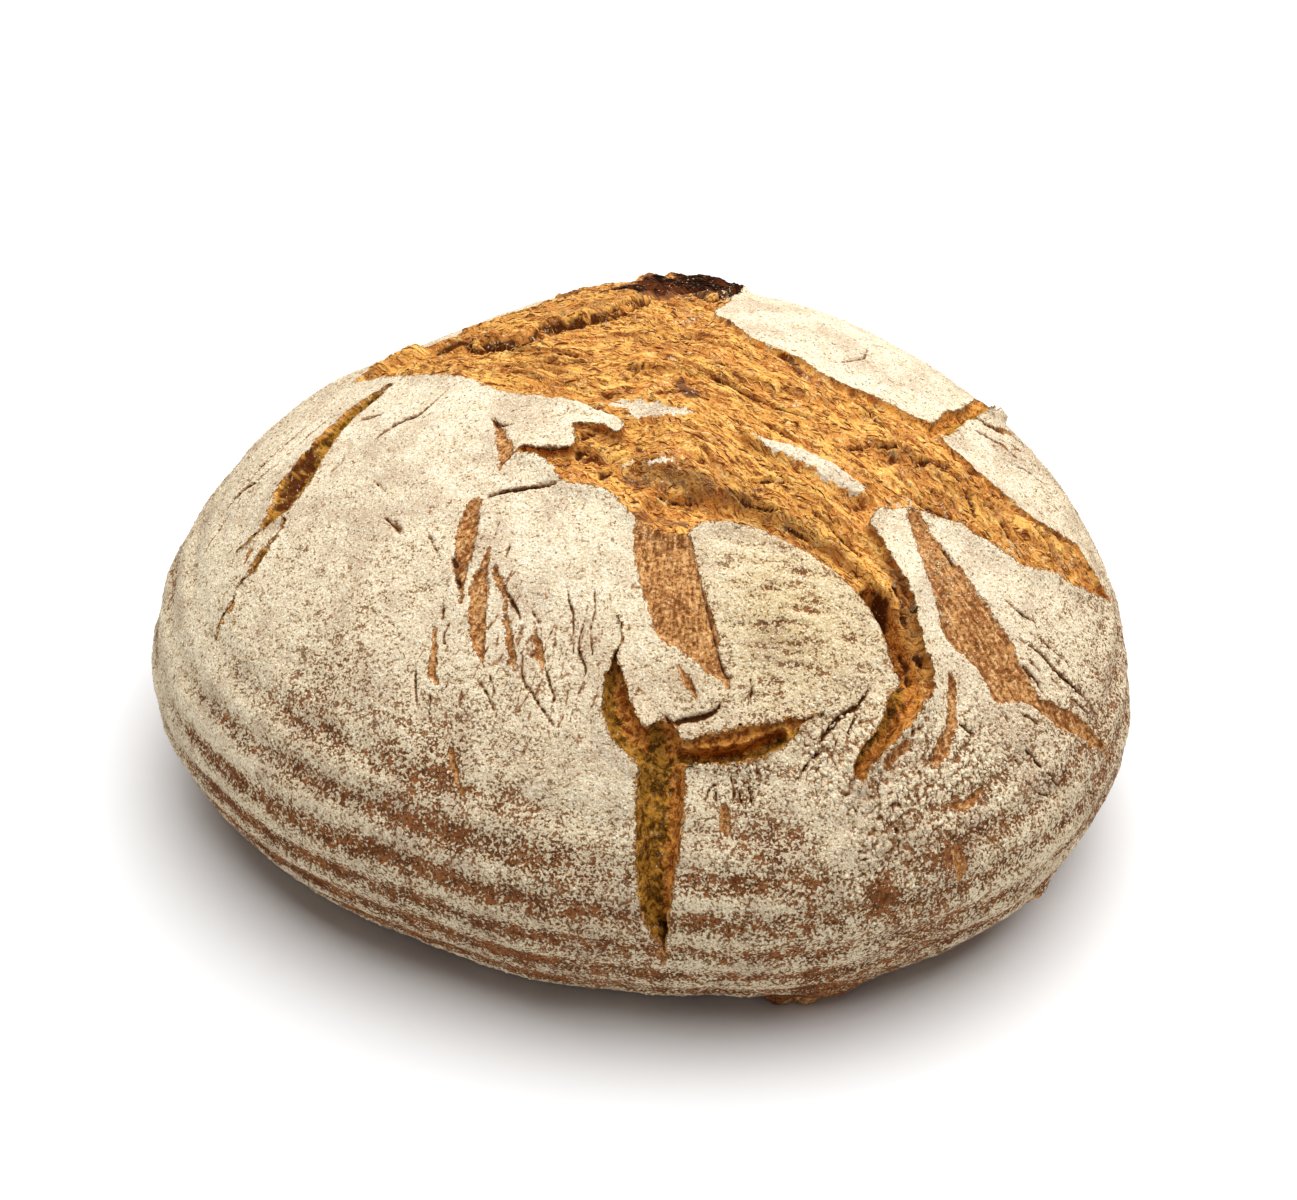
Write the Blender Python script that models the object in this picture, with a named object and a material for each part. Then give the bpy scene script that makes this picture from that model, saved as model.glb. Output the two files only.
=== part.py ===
"""Crusty loaf: a round hearth bread, floured in a coiled basket and torn open over its crown in the oven.

The whole crust is laid out on a flat map. A point (x, y) of the map lies hypot(x, y) millimetres from the
crown, measured along the crust, in the direction (x, y): +X to the right and +Y to the back. Tears, splits
and scars are drawn there, and their relief is then raised from the smooth dome along its normal.
"""

import bmesh
import bpy
import numpy as np

MM = 0.001

# Driving dimensions, in millimetres
DOME_HEIGHT = 126.0
BELLY_HEIGHT = 44.0
MEAN_RADIUS = 130.0
OVAL_SHARE = 0.086
OVAL_TURN = -0.21
THREE_SIDED_SHARE = 0.024
THREE_SIDED_TURN = 1.205
CROWN_SHIFT = (10.6, 26.6)
CROWN_SHIFT_EASE = 1.5
FOOT_SHARE = 0.76
DOME_EXPONENT = 1.8
UNDERCUT_EXPONENT = 2.0
PROFILE_STEPS = 1500

# Mesh density
GRID_CELLS = 360
LINE_STEPS = 8
TRIANGLES_OF_CRUST = 10200
CLEAR_OF_FLOOR = 0.2
NOISE_CELLS = 64
SLOPE_REACH = 0.5

# Low swells all over the crust: height and size, in millimetres
BROAD_LUMPS = (0.9, 42.0)
FINE_LUMPS = (0.35, 15.0)

# Rings left by the coiled basket on the flanks, in millimetres
RING_PITCH = 11.6
RING_HEIGHT = 0.55
RING_WANDER = (2.0, 50.0)
FIRST_RING = 119.4
RING_FADE = 25.0
RIM_FADE = 9.0

# The torn inside: depths, heights and widths, in millimetres
TEAR_DROP = 3.2
TEAR_WALL = 2.5
TEAR_EDGE_WANDER = (0.8, 6.0)
TEAR_SWELL = 2.6
TEAR_SWELL_START = 5.0
TEAR_SWELL_WIDTH = 14.0
LAYER_HEIGHT = 2.4
LAYER_WALL = 2.2
LAYER_EDGE_WANDER = (2.0, 7.0)
STRAND_HEIGHT = 1.9
STRAND_WALL = 5.0
STRAND_TURN = np.radians(-13.0)
STRAND_BEND = (4.0, 30.0)
COARSE_STRANDS = (0.7, 9.0, 2.6)
FINE_STRANDS = (0.4, 5.0, 1.8)

# The skin's edges and scars, in millimetres
LIP_HEIGHT = 1.3
LIP_REACH = 5.0
SPLIT_LIP_HEIGHT = 0.8
SPLIT_EDGE_WANDER = (0.12, 5.0)
CREST_UNEVENNESS = (0.25, 6.0)
SCAR_DROP = 1.1

# How steep the sides of a band are: 1 gives a slope from its edge to its centre line
SPLIT_STEEPNESS = 1.3
HOLLOW_STEEPNESS = 1.4
CREST_STEEPNESS = 1.5
SCAR_STEEPNESS = 2.5
LIP_STEEPNESS = 3.0
THINNEST_BAND = 0.3

# The great tear over the crown: its outline on the map, from the left tip along the front edge
GREAT_TEAR = [
    (-90, 42), (-76, 25), (-61, 11), (-49, 1), (-36, -9), (-25, -18), (-12, -25), (-20, -30), (-32, -23),
    (-33, -31), (-41, -29), (-36, -42), (-27, -48), (-14, -59), (-5, -64), (4, -64), (10, -60), (22, -59),
    (36, -62), (49, -69), (62, -81), (66, -79), (61, -66), (55, -54), (51, -44), (57, -40), (74, -39),
    (91, -40), (104, -37), (122, -28), (135, -20), (123, -13), (104, -18), (86, -13), (71, -6), (56, -1),
    (40, 1), (24, 10), (14, 23), (13, 42), (20, 60), (24, 76), (2, 84), (-24, 76), (-46, 60), (-66, 50),
]

# The back of the tear, where a torn layer stands higher than the rest
UPPER_LAYER = [
    (-66, 36), (-52, 26), (-44, 21), (-36, 28), (-24, 30), (-15, 37), (-8, 48), (4, 52), (12, 42), (18, 60),
    (22, 76), (0, 84), (-26, 75), (-50, 58),
]

# Splits: points (x, y, half width) on the map, then the depth
SPLITS = [
    # left of the tear
    ([(-77, 23, 1.5), (-86, 16, 4.2), (-95, 8, 5), (-102, -2, 6.5), (-107, -9, 5.5), (-114, -14, 2)], 8.0),
    ([(-105, -17, 0.8), (-109, -22, 1.6), (-115, -27, 2.2), (-123, -32, 1.8), (-131, -39, 0.8)], 4.0),
    # the two arms over the front split
    ([(-14, -87, 0.9), (-15, -94, 2), (-18, -104, 4.5), (-16, -111, 5), (-9, -117, 4.5), (0, -121, 5)], 8.0),
    ([(0, -121, 3), (12, -118, 2.6), (22, -116, 3), (31, -112, 3), (38, -107, 2), (46, -101, 0.8)], 8.0),
    # the front split
    ([(0, -119, 6.5), (0, -127, 7.5), (1, -138, 7.3), (2, -150, 6.5), (3, -159, 4.6), (6, -169, 1.6)], 9.0),
    # right of the front plate
    ([(56, -69, 4), (63, -76, 5.5), (68, -86, 5.5), (65, -96, 4.6), (60, -105, 3.4), (57, -113, 1.2)], 9.0),
    # between the two back plates
    ([(70, -5, 2.5), (79, 3, 4), (87, 15, 4), (94, 28, 3.6), (103, 44, 2)], 4.0),
    # at the back
    ([(-34, 118, 1), (-12, 126, 3.2), (12, 129, 4.2), (34, 123, 3), (58, 112, 0.9)], 6.0),
    ([(-112, 66, 0.8), (-106, 80, 2.4), (-94, 96, 3), (-88, 112, 0.9)], 5.0),
]

# Scars: bare bands where the floured skin has pulled apart, as points (x, y, half width)
SCARS = [
    # left of the front plates
    [(-56, -41, 1.8), (-60, -48, 3), (-62, -57, 2.6), (-62, -67, 1)],
    [(-54, -59, 0.8), (-58, -69, 3), (-58, -79, 2.8), (-57, -87, 1)],
    # between the two front plates
    [(-5, -58, 7), (-4, -68, 8), (-1, -78, 9), (4, -88, 8), (10, -95, 5), (17, -101, 1.5)],
    # on the right flank
    [(62, -42, 2), (74, -54, 8), (87, -66, 9), (100, -72, 6), (117, -72, 3), (134, -69, 1.6)],
    [(78, -80, 1), (81, -90, 2.2), (79, -100, 0.9)],
    # at the back right
    [(70, 88, 1), (78, 97, 3.5), (80, 112, 4), (74, 128, 1.2)],
]

# Hollows where the inside has sunk beside a plate, as points (x, y, half width), then the depth
HOLLOWS = [
    ([(-8, -56, 5), (12, -54, 6), (32, -57, 6), (47, -63, 6), (57, -70, 7), (65, -83, 5)], 3.6),
    ([(-58, 30, 3), (-46, 22, 4), (-34, 26, 3), (-22, 29, 3), (-12, 38, 3), (-4, 48, 3)], 2.4),
    ([(-28, -38, 6), (-16, -46, 7), (0, -50, 6)], 2.0),
]

# Crests that stand above the torn inside, as points (x, y, half width), then the height
CRESTS = [
    ([(-8, 68, 7), (6, 71, 10), (20, 68, 7)], 4.4),
    ([(-84, 43, 5), (-76, 44, 5)], 4.5),
    ([(99, 38, 5), (105, 43, 4)], 3.0),
    ([(18, -30, 2.5), (30, -33, 4), (42, -36, 4), (50, -38, 2)], 2.2),
    ([(-12, -4, 3), (5, -5, 4), (28, -7, 4), (50, -8, 4)], 1.8),
    ([(52, -20, 4), (80, -22, 5), (108, -24, 4)], 1.8),
]

# Plates and swells of the crust, as (x, y, radius, height)
SWELLS = [
    (32, -82, 26, 2.4),
    (-28, -72, 26, 1.6),
    (64, -58, 14, 1.2),
    (-150, 50, 45, 0.7),
    (24, 24, 22, 1.0),
    (-60, -190, 45, 1.8),
    (120, -158, 32, -1.4),
    (-142, -145, 36, -1.3),
    (-62, 66, 26, -2.2),
    (80, 66, 28, -1.5),
    (-104, 62, 16, 1.6),
    (-176, -32, 24, 1.6),
    (170, -56, 22, 1.4),
    (90, -178, 14, 2.2),
]

CRUST_COLOUR = (0.62, 0.45, 0.28, 1.0)
CRUST_ROUGHNESS = 0.85


def ease(value):
    """0 below 0, 1 above 1, and a smooth slope between."""
    value = np.clip(value, 0.0, 1.0)
    return value * value * (3.0 - 2.0 * value)


def profile():
    """Half section of the loaf: arc length from the crown, share of the radius, and height.

    The dome is a quarter of a superellipse from the crown to the belly, and a smaller quarter tucks under
    from the belly to the foot.
    """
    angle = np.linspace(0.0, np.pi / 2, PROFILE_STEPS)
    dome_share = np.sin(angle) ** (2 / DOME_EXPONENT)
    dome_height = BELLY_HEIGHT + (DOME_HEIGHT - BELLY_HEIGHT) * np.cos(angle) ** (2 / DOME_EXPONENT)
    low_share = FOOT_SHARE + (1 - FOOT_SHARE) * np.cos(angle) ** (2 / UNDERCUT_EXPONENT)
    low_height = BELLY_HEIGHT * (1 - np.sin(angle) ** (2 / UNDERCUT_EXPONENT))
    share = np.concatenate([dome_share, low_share[1:]])
    height = np.concatenate([dome_height, low_height[1:]])
    steps = np.hypot(np.diff(share * MEAN_RADIUS), np.diff(height))
    return np.concatenate([[0.0], np.cumsum(steps)]), share, height


ARC, SHARE, HEIGHT = profile()
CRUST_LENGTH = ARC[-1]


def smooth_dome(x, y):
    """Points of the loaf without relief, for map points x and y.

    The plan radius is a circle with an oval and a slightly three-sided wave, and the crown leans to the
    right and the back.
    """
    along = np.hypot(x, y)
    turn = np.arctan2(y, x)
    share = np.interp(along, ARC, SHARE)
    height = np.interp(along, ARC, HEIGHT)
    oval = OVAL_SHARE * np.cos(2 * (turn - OVAL_TURN))
    three_sided = THREE_SIDED_SHARE * np.cos(3 * (turn - THREE_SIDED_TURN))
    radius = MEAN_RADIUS * (1 + oval + three_sided) * share
    lean = np.clip((height - BELLY_HEIGHT) / (DOME_HEIGHT - BELLY_HEIGHT), 0.0, 1.0) ** CROWN_SHIFT_EASE
    right = radius * np.cos(turn) + CROWN_SHIFT[0] * lean
    back = radius * np.sin(turn) + CROWN_SHIFT[1] * lean
    return np.stack([right, back, height], axis=-1)


def lumps(x, y, size, seed):
    """Smooth random heights from -1 to 1: a square lattice of random values, blended by an eased slope."""
    cells = NOISE_CELLS
    lattice = np.random.default_rng(seed).uniform(-1.0, 1.0, (cells, cells))
    across = x / size + cells / 2
    up = y / size + cells / 2
    column = np.floor(across).astype(int)
    row = np.floor(up).astype(int)
    part_x = ease(across - column)
    part_y = ease(up - row)
    left, right = column % cells, (column + 1) % cells
    front, back = row % cells, (row + 1) % cells
    near = lattice[left, front] * (1 - part_x) + lattice[right, front] * part_x
    far = lattice[left, back] * (1 - part_x) + lattice[right, back] * part_x
    return near * (1 - part_y) + far * part_y


def smooth_line(points, closed=False):
    """A Catmull-Rom curve through the points, with LINE_STEPS steps in each span."""
    points = np.array(points, float)
    if closed:
        points = np.concatenate([points[-1:], points, points[:2]])
    else:
        points = np.concatenate([2 * points[:1] - points[1:2], points, 2 * points[-1:] - points[-2:-1]])
    before, start, end, after = points[:-3], points[1:-2], points[2:-1], points[3:]
    step = np.linspace(0.0, 1.0, LINE_STEPS, endpoint=False)[None, :, None]
    before, start, end, after = (values[:, None, :] for values in (before, start, end, after))
    curve = 0.5 * (
        2 * start
        + (end - before) * step
        + (2 * before - 5 * start + 4 * end - after) * step**2
        + (3 * start - before - 3 * end + after) * step**3
    ).reshape(-1, points.shape[1])
    return curve if closed else np.concatenate([curve, points[-2:-1]])


def distance_to_span(x, y, start, end):
    """Distance of each map point to one straight span, and the share of the span where it is nearest."""
    run_x, run_y = end[0] - start[0], end[1] - start[1]
    share = ((x - start[0]) * run_x + (y - start[1]) * run_y) / (run_x**2 + run_y**2)
    share = np.clip(share, 0.0, 1.0)
    return np.hypot(x - start[0] - share * run_x, y - start[1] - share * run_y), share


def nearness(x, y, points):
    """How deep each map point lies in a band: 1 on its centre line, 0 at its edge, negative outside."""
    line = smooth_line(points)
    best = np.full(x.shape, -np.inf)
    for start, end in zip(line[:-1], line[1:]):
        away, share = distance_to_span(x, y, start, end)
        half_width = start[2] + share * (end[2] - start[2])
        best = np.maximum(best, 1 - away / np.maximum(half_width, THINNEST_BAND))
    return best


def depth_inside(x, y, outline):
    """Distance in millimetres to a closed outline: positive inside it, negative outside."""
    line = smooth_line(outline, closed=True)
    inside = np.zeros(x.shape, bool)
    away = np.full(x.shape, np.inf)
    for start, end in zip(line, np.roll(line, -1, axis=0)):
        away = np.minimum(away, distance_to_span(x, y, start, end)[0])
        crosses = (start[1] > y) != (end[1] > y)
        share = (y - start[1]) / (end[1] - start[1] if end[1] != start[1] else 1.0)
        inside ^= crosses & (x < start[0] + share * (end[0] - start[0]))
    return np.where(inside, away, -away)


def uneven(x, y, height_and_size, seed):
    """Random lumps of a given height and size."""
    height, size = height_and_size
    return height * lumps(x, y, size, seed)


def torn_strands(x, y):
    """Ridges of the torn inside, drawn out along the tear: folded noise, long one way and short the other."""
    along = x * np.cos(STRAND_TURN) + y * np.sin(STRAND_TURN)
    across = y * np.cos(STRAND_TURN) - x * np.sin(STRAND_TURN)
    across = across + uneven(along, across, STRAND_BEND, 11)
    height = 0.0
    for seed, (share, size, stretch) in enumerate((COARSE_STRANDS, FINE_STRANDS), start=12):
        height = height + share * (1 - 2 * np.abs(lumps(along / stretch, across, size, seed)))
    return height


def skin_relief(x, y):
    """The unbroken skin: low lumps, swollen plates, and the basket's rings on the flanks."""
    height = uneven(x, y, BROAD_LUMPS, 1) + uneven(x, y, FINE_LUMPS, 2)
    for centre_x, centre_y, radius, rise in SWELLS:
        height += rise * np.exp(-((x - centre_x) ** 2 + (y - centre_y) ** 2) / radius**2)
    along = np.hypot(x, y)
    wave = np.cos(2 * np.pi * (along - FIRST_RING + uneven(x, y, RING_WANDER, 3)) / RING_PITCH)
    return height + RING_HEIGHT * wave * ease((along - FIRST_RING) / RING_FADE)


def tear_relief(x, y):
    """The great tear: raised lips, a sunk and stranded inside, and a higher layer at its back."""
    tear = depth_inside(x, y, GREAT_TEAR) + uneven(x, y, TEAR_EDGE_WANDER, 4)
    inside = ease(tear / TEAR_WALL)
    height = LIP_HEIGHT * ease(1 + tear / LIP_REACH) * (1 - inside) - TEAR_DROP * inside
    height += TEAR_SWELL * ease((tear - TEAR_SWELL_START) / TEAR_SWELL_WIDTH)
    height += STRAND_HEIGHT * torn_strands(x, y) * ease(tear / STRAND_WALL)
    layer = depth_inside(x, y, UPPER_LAYER) + uneven(x, y, LAYER_EDGE_WANDER, 5)
    height += LAYER_HEIGHT * ease(layer / LAYER_WALL) * inside
    for points in SCARS:
        height -= SCAR_DROP * ease(nearness(x, y, points) * SCAR_STEEPNESS) * (1 - inside)
    return height


def band_relief(x, y):
    """The long hollows, crests and splits. Where splits meet, the deepest of them counts."""
    height = 0.0
    sunk = 0.0
    for points, depth in HOLLOWS:
        height = height - depth * ease(nearness(x, y, points) * HOLLOW_STEEPNESS)
    for points, rise in CRESTS:
        crest = ease(nearness(x, y, points) * CREST_STEEPNESS)
        height = height + rise * crest * (1 + uneven(x, y, CREST_UNEVENNESS, 6))
    for points, depth in SPLITS:
        band = nearness(x, y, points) + uneven(x, y, SPLIT_EDGE_WANDER, 7)
        height = height + SPLIT_LIP_HEIGHT * ease(1 + band) * (1 - ease(band * LIP_STEEPNESS))
        sunk = np.maximum(sunk, depth * ease(band * SPLIT_STEEPNESS))
    return height - sunk


def relief(x, y):
    """Height of the crust over the smooth dome, in millimetres: it dies out at the foot."""
    to_rim = CRUST_LENGTH - np.hypot(x, y)
    return (skin_relief(x, y) + tear_relief(x, y) + band_relief(x, y)) * ease(to_rim / RIM_FADE)


def crust_points(x, y):
    """The finished crust: the smooth dome plus its relief along the normal, in millimetres."""
    points = smooth_dome(x, y)
    slope_x = smooth_dome(x + SLOPE_REACH, y) - smooth_dome(x - SLOPE_REACH, y)
    slope_y = smooth_dome(x, y + SLOPE_REACH) - smooth_dome(x, y - SLOPE_REACH)
    normal = np.cross(slope_x, slope_y)
    normal /= np.linalg.norm(normal, axis=-1, keepdims=True)
    return points + normal * relief(x, y)[..., None]


def disc_grid(cells, radius):
    """A square grid of map points drawn out to a disc: each square ring of the grid becomes a circle."""
    side = np.linspace(-1.0, 1.0, cells + 1)
    across, up = np.meshgrid(side, side, indexing="ij")
    wide = np.abs(across) > np.abs(up)
    ring = np.where(wide, across, up)
    rest = np.where(wide, up, across)
    turn = np.pi / 4 * rest / np.where(ring == 0, 1.0, ring)
    turn = np.where(wide, turn, np.pi / 2 - turn)
    return radius * ring * np.cos(turn), radius * ring * np.sin(turn)


def fine_crust():
    """The crust as a dense open mesh from the crown to the foot."""
    x, y = disc_grid(GRID_CELLS, CRUST_LENGTH)
    points = crust_points(x, y)
    number = np.arange(points.shape[0] * points.shape[1]).reshape(points.shape[:2])
    faces = np.stack([number[:-1, :-1], number[1:, :-1], number[1:, 1:], number[:-1, 1:]], axis=-1)
    mesh = bpy.data.meshes.new("loaf")
    mesh.from_pydata((points.reshape(-1, 3) * MM).tolist(), [], faces.reshape(-1, 4).tolist())
    return mesh


def thinned(mesh, triangles):
    """A copy of the mesh with about this many triangles, kept where the shape turns most."""
    holder = bpy.data.objects.new("thinning", mesh)
    bpy.context.scene.collection.objects.link(holder)
    decimate = holder.modifiers.new("fewer faces", "DECIMATE")
    decimate.ratio = triangles / (2 * GRID_CELLS**2)
    graph = bpy.context.evaluated_depsgraph_get()
    thin = bpy.data.meshes.new_from_object(holder.evaluated_get(graph))
    bpy.data.objects.remove(holder)
    return thin


def close_underside(mesh):
    """Flattens the rim to the floor, closes it with a flat face and puts the origin under the middle."""
    work = bmesh.new()
    work.from_mesh(mesh)
    for vertex in work.verts:
        vertex.co.z = 0.0 if vertex.is_boundary else max(vertex.co.z, CLEAR_OF_FLOOR * MM)
    rim = [edge for edge in work.edges if edge.is_boundary]
    underside = bmesh.ops.contextual_create(work, geom=rim)["faces"]
    bmesh.ops.triangulate(work, faces=underside)
    bmesh.ops.recalc_face_normals(work, faces=work.faces)
    across = [vertex.co.x for vertex in work.verts]
    along = [vertex.co.y for vertex in work.verts]
    middle = ((min(across) + max(across)) / 2, (min(along) + max(along)) / 2, 0.0)
    bmesh.ops.translate(work, verts=work.verts, vec=[-value for value in middle])
    work.to_mesh(mesh)
    work.free()


def crust_material():
    """Floured, browned crust: matt and light tan."""
    material = bpy.data.materials.new("floured crust")
    material.use_nodes = True
    shader = material.node_tree.nodes["Principled BSDF"]
    shader.inputs["Base Color"].default_value = CRUST_COLOUR
    shader.inputs["Roughness"].default_value = CRUST_ROUGHNESS
    shader.inputs["Metallic"].default_value = 0.0
    return material


def make_loaf():
    mesh = thinned(fine_crust(), TRIANGLES_OF_CRUST)
    close_underside(mesh)
    mesh.name = "loaf"
    mesh.materials.clear()
    mesh.materials.append(crust_material())
    mesh.shade_smooth()
    loaf = bpy.data.objects.new("loaf", mesh)
    bpy.context.scene.collection.objects.link(loaf)


for leftover in list(bpy.data.objects):
    bpy.data.objects.remove(leftover)
make_loaf()
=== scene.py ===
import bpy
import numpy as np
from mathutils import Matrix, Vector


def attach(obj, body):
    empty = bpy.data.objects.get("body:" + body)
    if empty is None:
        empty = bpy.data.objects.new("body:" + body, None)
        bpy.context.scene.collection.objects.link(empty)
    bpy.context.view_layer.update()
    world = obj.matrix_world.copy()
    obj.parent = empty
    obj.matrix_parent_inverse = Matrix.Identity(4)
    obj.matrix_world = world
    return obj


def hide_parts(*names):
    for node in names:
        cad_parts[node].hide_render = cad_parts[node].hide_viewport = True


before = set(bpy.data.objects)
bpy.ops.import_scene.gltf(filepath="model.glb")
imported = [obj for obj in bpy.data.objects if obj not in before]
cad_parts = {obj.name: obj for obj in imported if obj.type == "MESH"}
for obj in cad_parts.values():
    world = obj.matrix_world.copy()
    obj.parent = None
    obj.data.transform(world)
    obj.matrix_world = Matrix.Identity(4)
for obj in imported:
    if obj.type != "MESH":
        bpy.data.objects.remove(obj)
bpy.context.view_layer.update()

# The look of a crusty country loaf: floured skin with the rings of a coiled basket, a great ragged tear over
# the crown, splits down to the crumb, and a dusting of flour in grains and clumps.
#
# The crust is laid out on a flat map, as in the part: a point (x, y) lies hypot(x, y) millimetres from the
# crown, measured along the crust, in the direction (x, y). The relief is raised from a smooth dome along its
# normal, and each kind of surface is a distance or a share kept at the vertices for the material to read.

MM = 0.001

# The dome, in millimetres: the same values as the part's
DOME_HEIGHT = 126.0
BELLY_HEIGHT = 44.0
MEAN_RADIUS = 130.0
OVAL_SHARE = 0.086
OVAL_TURN = -0.21
THREE_SIDED_SHARE = 0.024
THREE_SIDED_TURN = 1.205
CROWN_SHIFT = (10.6, 26.6)
CROWN_SHIFT_EASE = 1.5
FOOT_SHARE = 0.76
DOME_EXPONENT = 1.8
UNDERCUT_EXPONENT = 2.0
PROFILE_STEPS = 1500
DOME_MIDDLE = (-3.15, 0.67)

# The mesh: cells across the map, where the inner pieces meet the outer ones, steps and reaches in
# millimetres, and how far the skin leans out over the tear, as a share of the drop
GRID_CELLS = 800
INNER_SHARE = 0.7
LINE_STEPS = 4
SNAP = 0.29
SLOPE_REACH = 0.5
CLEAR_OF_FLOOR = 0.2
SKIRT_DEPTH = 24.0
DEEPEST = 14.0
OVERHANG = 0.28

# The basket's rings, in millimetres along the crust
RING_PITCH = 11.6
RING_HEIGHT = 0.5
RING_WANDER = (2.0, 50.0)
FIRST_RING = 119.4
RING_FADE = 25.0
RIM_FADE = 9.0

# How far each kind of surface rises or drops, in millimetres
TEAR_DROP = 1.4
TEAR_DROP_IN_FRONT = 1.8
LAYER_RISE = 1.9
TORN_HEIGHT = 0.88
ISLAND_RISE = 0.5
LIP_RISE = 0.7
BARE_DROP = 0.9
CRACK_DROP = 1.3
DRIED_DROP = 0.6
CHUNK_RISE = 0.36

# Loose pieces: how many shreds, the corners round each and the rings along it, and how many clumps
SHREDS = 2800
SHRED_CORNERS = 4
SHRED_RINGS = 5
CLUMPS = 8500

# The photograph and its lens in pixels, the pixel that the camera looks at, and the camera's place in degrees
# and metres
PHOTO_WIDTH, PHOTO_HEIGHT = 1297, 1200
LENS_PIXELS = 3087
LOOKED_AT = (647.9, 622.2)
CAMERA_ANGLE = 41.0
CAMERA_DISTANCE = 0.9
CAMERA_TARGET_HEIGHT = 0.05
SENSOR_WIDTH = 36.0

# The stage, in metres and watts
FLOOR_REACH = 6.0
FLOOR_DROP = 0.0004
FLOOR_TONE = 0.93
SURROUND_LIGHT = 0.15
LAMP_POWER = 47.5
LAMP_SIZE = 2.0
LAMP_PLACE = (0.2, 0.22, 1.5)

# Colours of the crust, flour and crumb, from 0 to 255 a channel
COLOURS = {
    "thin flour": (186, 151, 108), "flour": (226, 207, 173), "thick flour": (244, 232, 206),
    "grey flour patch": (190, 165, 136), "toasted flour": (229, 217, 183), "flour haze": (188, 156, 118),
    "light grain": (255, 248, 228), "dull grain": (176, 146, 110), "dark speck": (110, 78, 50),
    "under a clump": (190, 150, 108),
    "brown skin": (160, 99, 57), "dark skin": (118, 69, 36), "skin speck": (80, 49, 28),
    "bare crust": (200, 144, 86), "brown bare crust": (156, 100, 54), "dark streak": (110, 62, 28),
    "light streak": (236, 192, 136), "crack edge": (156, 108, 66), "crack": (76, 44, 20),
    "golden strand": (245, 185, 93), "brown strand": (208, 138, 63), "tangled strand": (180, 114, 56),
    # The next line holds a painted highlight for the fibre crests, and painted shade between fibres and between
    # strands
    "painted strand highlight": (253, 216, 138), "painted shade between fibres": (140, 74, 28), "painted shade between strands": (112, 50, 14),
    # The last colour on the next line is painted shade, for creases, holes and the foot of the upper layer
    "dark grit": (120, 66, 30), "light grit": (252, 216, 156), "painted shade": (88, 44, 12),
    "scorched": (110, 68, 50), "charred": (20, 9, 3), "charred brown": (84, 40, 14),
    # Crumb colours: the olive pair is painted shade on one wall of a split, the orange pair painted light on the
    # other
    "shaded pore": (86, 53, 8), "crumb": (190, 136, 50), "lit pore": (140, 70, 18), "lit crumb": (230, 158, 74),
}

# How the torn strands run over the map: their slope y / x at each x
STRAND_X = [-100, -60, -30, 0, 30, 60, 90, 150]
STRAND_SLOPE = [-0.75, -0.72, -0.6, -0.36, -0.46, -0.45, -0.15, -0.05]

# The great tear on the map, from the left tip along the front edge
GREAT_TEAR = [
    (-92, 43), (-84, 34), (-77, 26.5), (-69, 19), (-61, 12), (-55, 6.5), (-50, 0.5), (-46.5, -3.5), (-43, -6),
    (-40, -7.6), (-36, -10), (-31, -12.2), (-28, -14.6), (-25, -17.6), (-22.5, -20.6), (-20, -24.3), (-18, -27.8),
    (-19.5, -29.8), (-22, -27.2), (-24.5, -25), (-27.5, -23.2), (-31.5, -22.2), (-31.2, -26), (-32.3, -30.9),
    (-36, -30.2), (-40, -28.3), (-43.8, -26), (-45.5, -28.2), (-42, -31), (-39.5, -34.5), (-38, -37.5),
    (-36.5, -41), (-35, -44.5), (-30, -47.5), (-25, -50), (-22, -52), (-20, -54.5), (-17, -58), (-14, -60.5),
    (-12.5, -62), (-8, -64), (-2, -65.5), (3, -65), (5, -63), (8, -61), (14, -60), (21, -59), (26, -59.8),
    (31, -61), (36, -62.4), (42, -64.6), (47, -67), (51, -70), (54, -73), (56.5, -76), (59, -79), (63, -80.5),
    (63.7, -86), (61.3, -92), (60, -98), (58, -103.5), (55.5, -110), (57, -114), (60, -113.5), (61, -110),
    (63, -106), (65.5, -101.5), (68, -97), (70.5, -92), (74.5, -86.5), (74, -82), (72, -77.5), (70, -76.5),
    (68.3, -73), (67, -68.5), (65, -64), (62.5, -60), (60, -57.5), (57, -54), (54, -50), (51.7, -46.5),
    (53.5, -43.2), (57, -42.3), (60, -41), (66, -39.6), (70, -39.5), (75, -38.8), (80, -39.3), (90, -39.8),
    (96, -40), (102, -38), (106, -36), (112, -33.6), (118, -31.8), (122, -29.3), (128, -26.5), (134, -21.5),
    (138.5, -17.5), (133, -16), (126, -16), (123, -13.3), (118, -14), (113, -15.6), (108, -17), (102, -18.5),
    (97, -18), (92, -16.6), (87, -15.4), (82, -13), (77, -11), (73, -9.3), (69, -4), (65, -3.5), (60, -3),
    (55, -1.7), (50, -0.8), (45, 0), (40, 1.5), (36, 3.2), (33.5, 6), (30, 7.3), (25, 9), (20, 11.5),
    (17.5, 15.5), (15.5, 19), (14, 22.5), (11, 25.5), (10.5, 30), (13.5, 36), (15.5, 42), (17, 48), (19, 55),
    (22, 63), (24, 76), (2, 84), (-24, 76), (-46, 60), (-66, 50), (-82, 50),
]

# The back of the tear, where a torn layer stands higher
UPPER_LAYER = [
    (-68, 38), (-58, 32), (-52, 25), (-44, 21), (-38, 27), (-30, 27), (-24, 30), (-17, 35), (-12, 42), (-8, 49),
    (0, 52), (6, 50), (11, 42), (14, 50), (18, 60), (22, 76), (0, 84), (-26, 75), (-50, 58),
]
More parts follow.
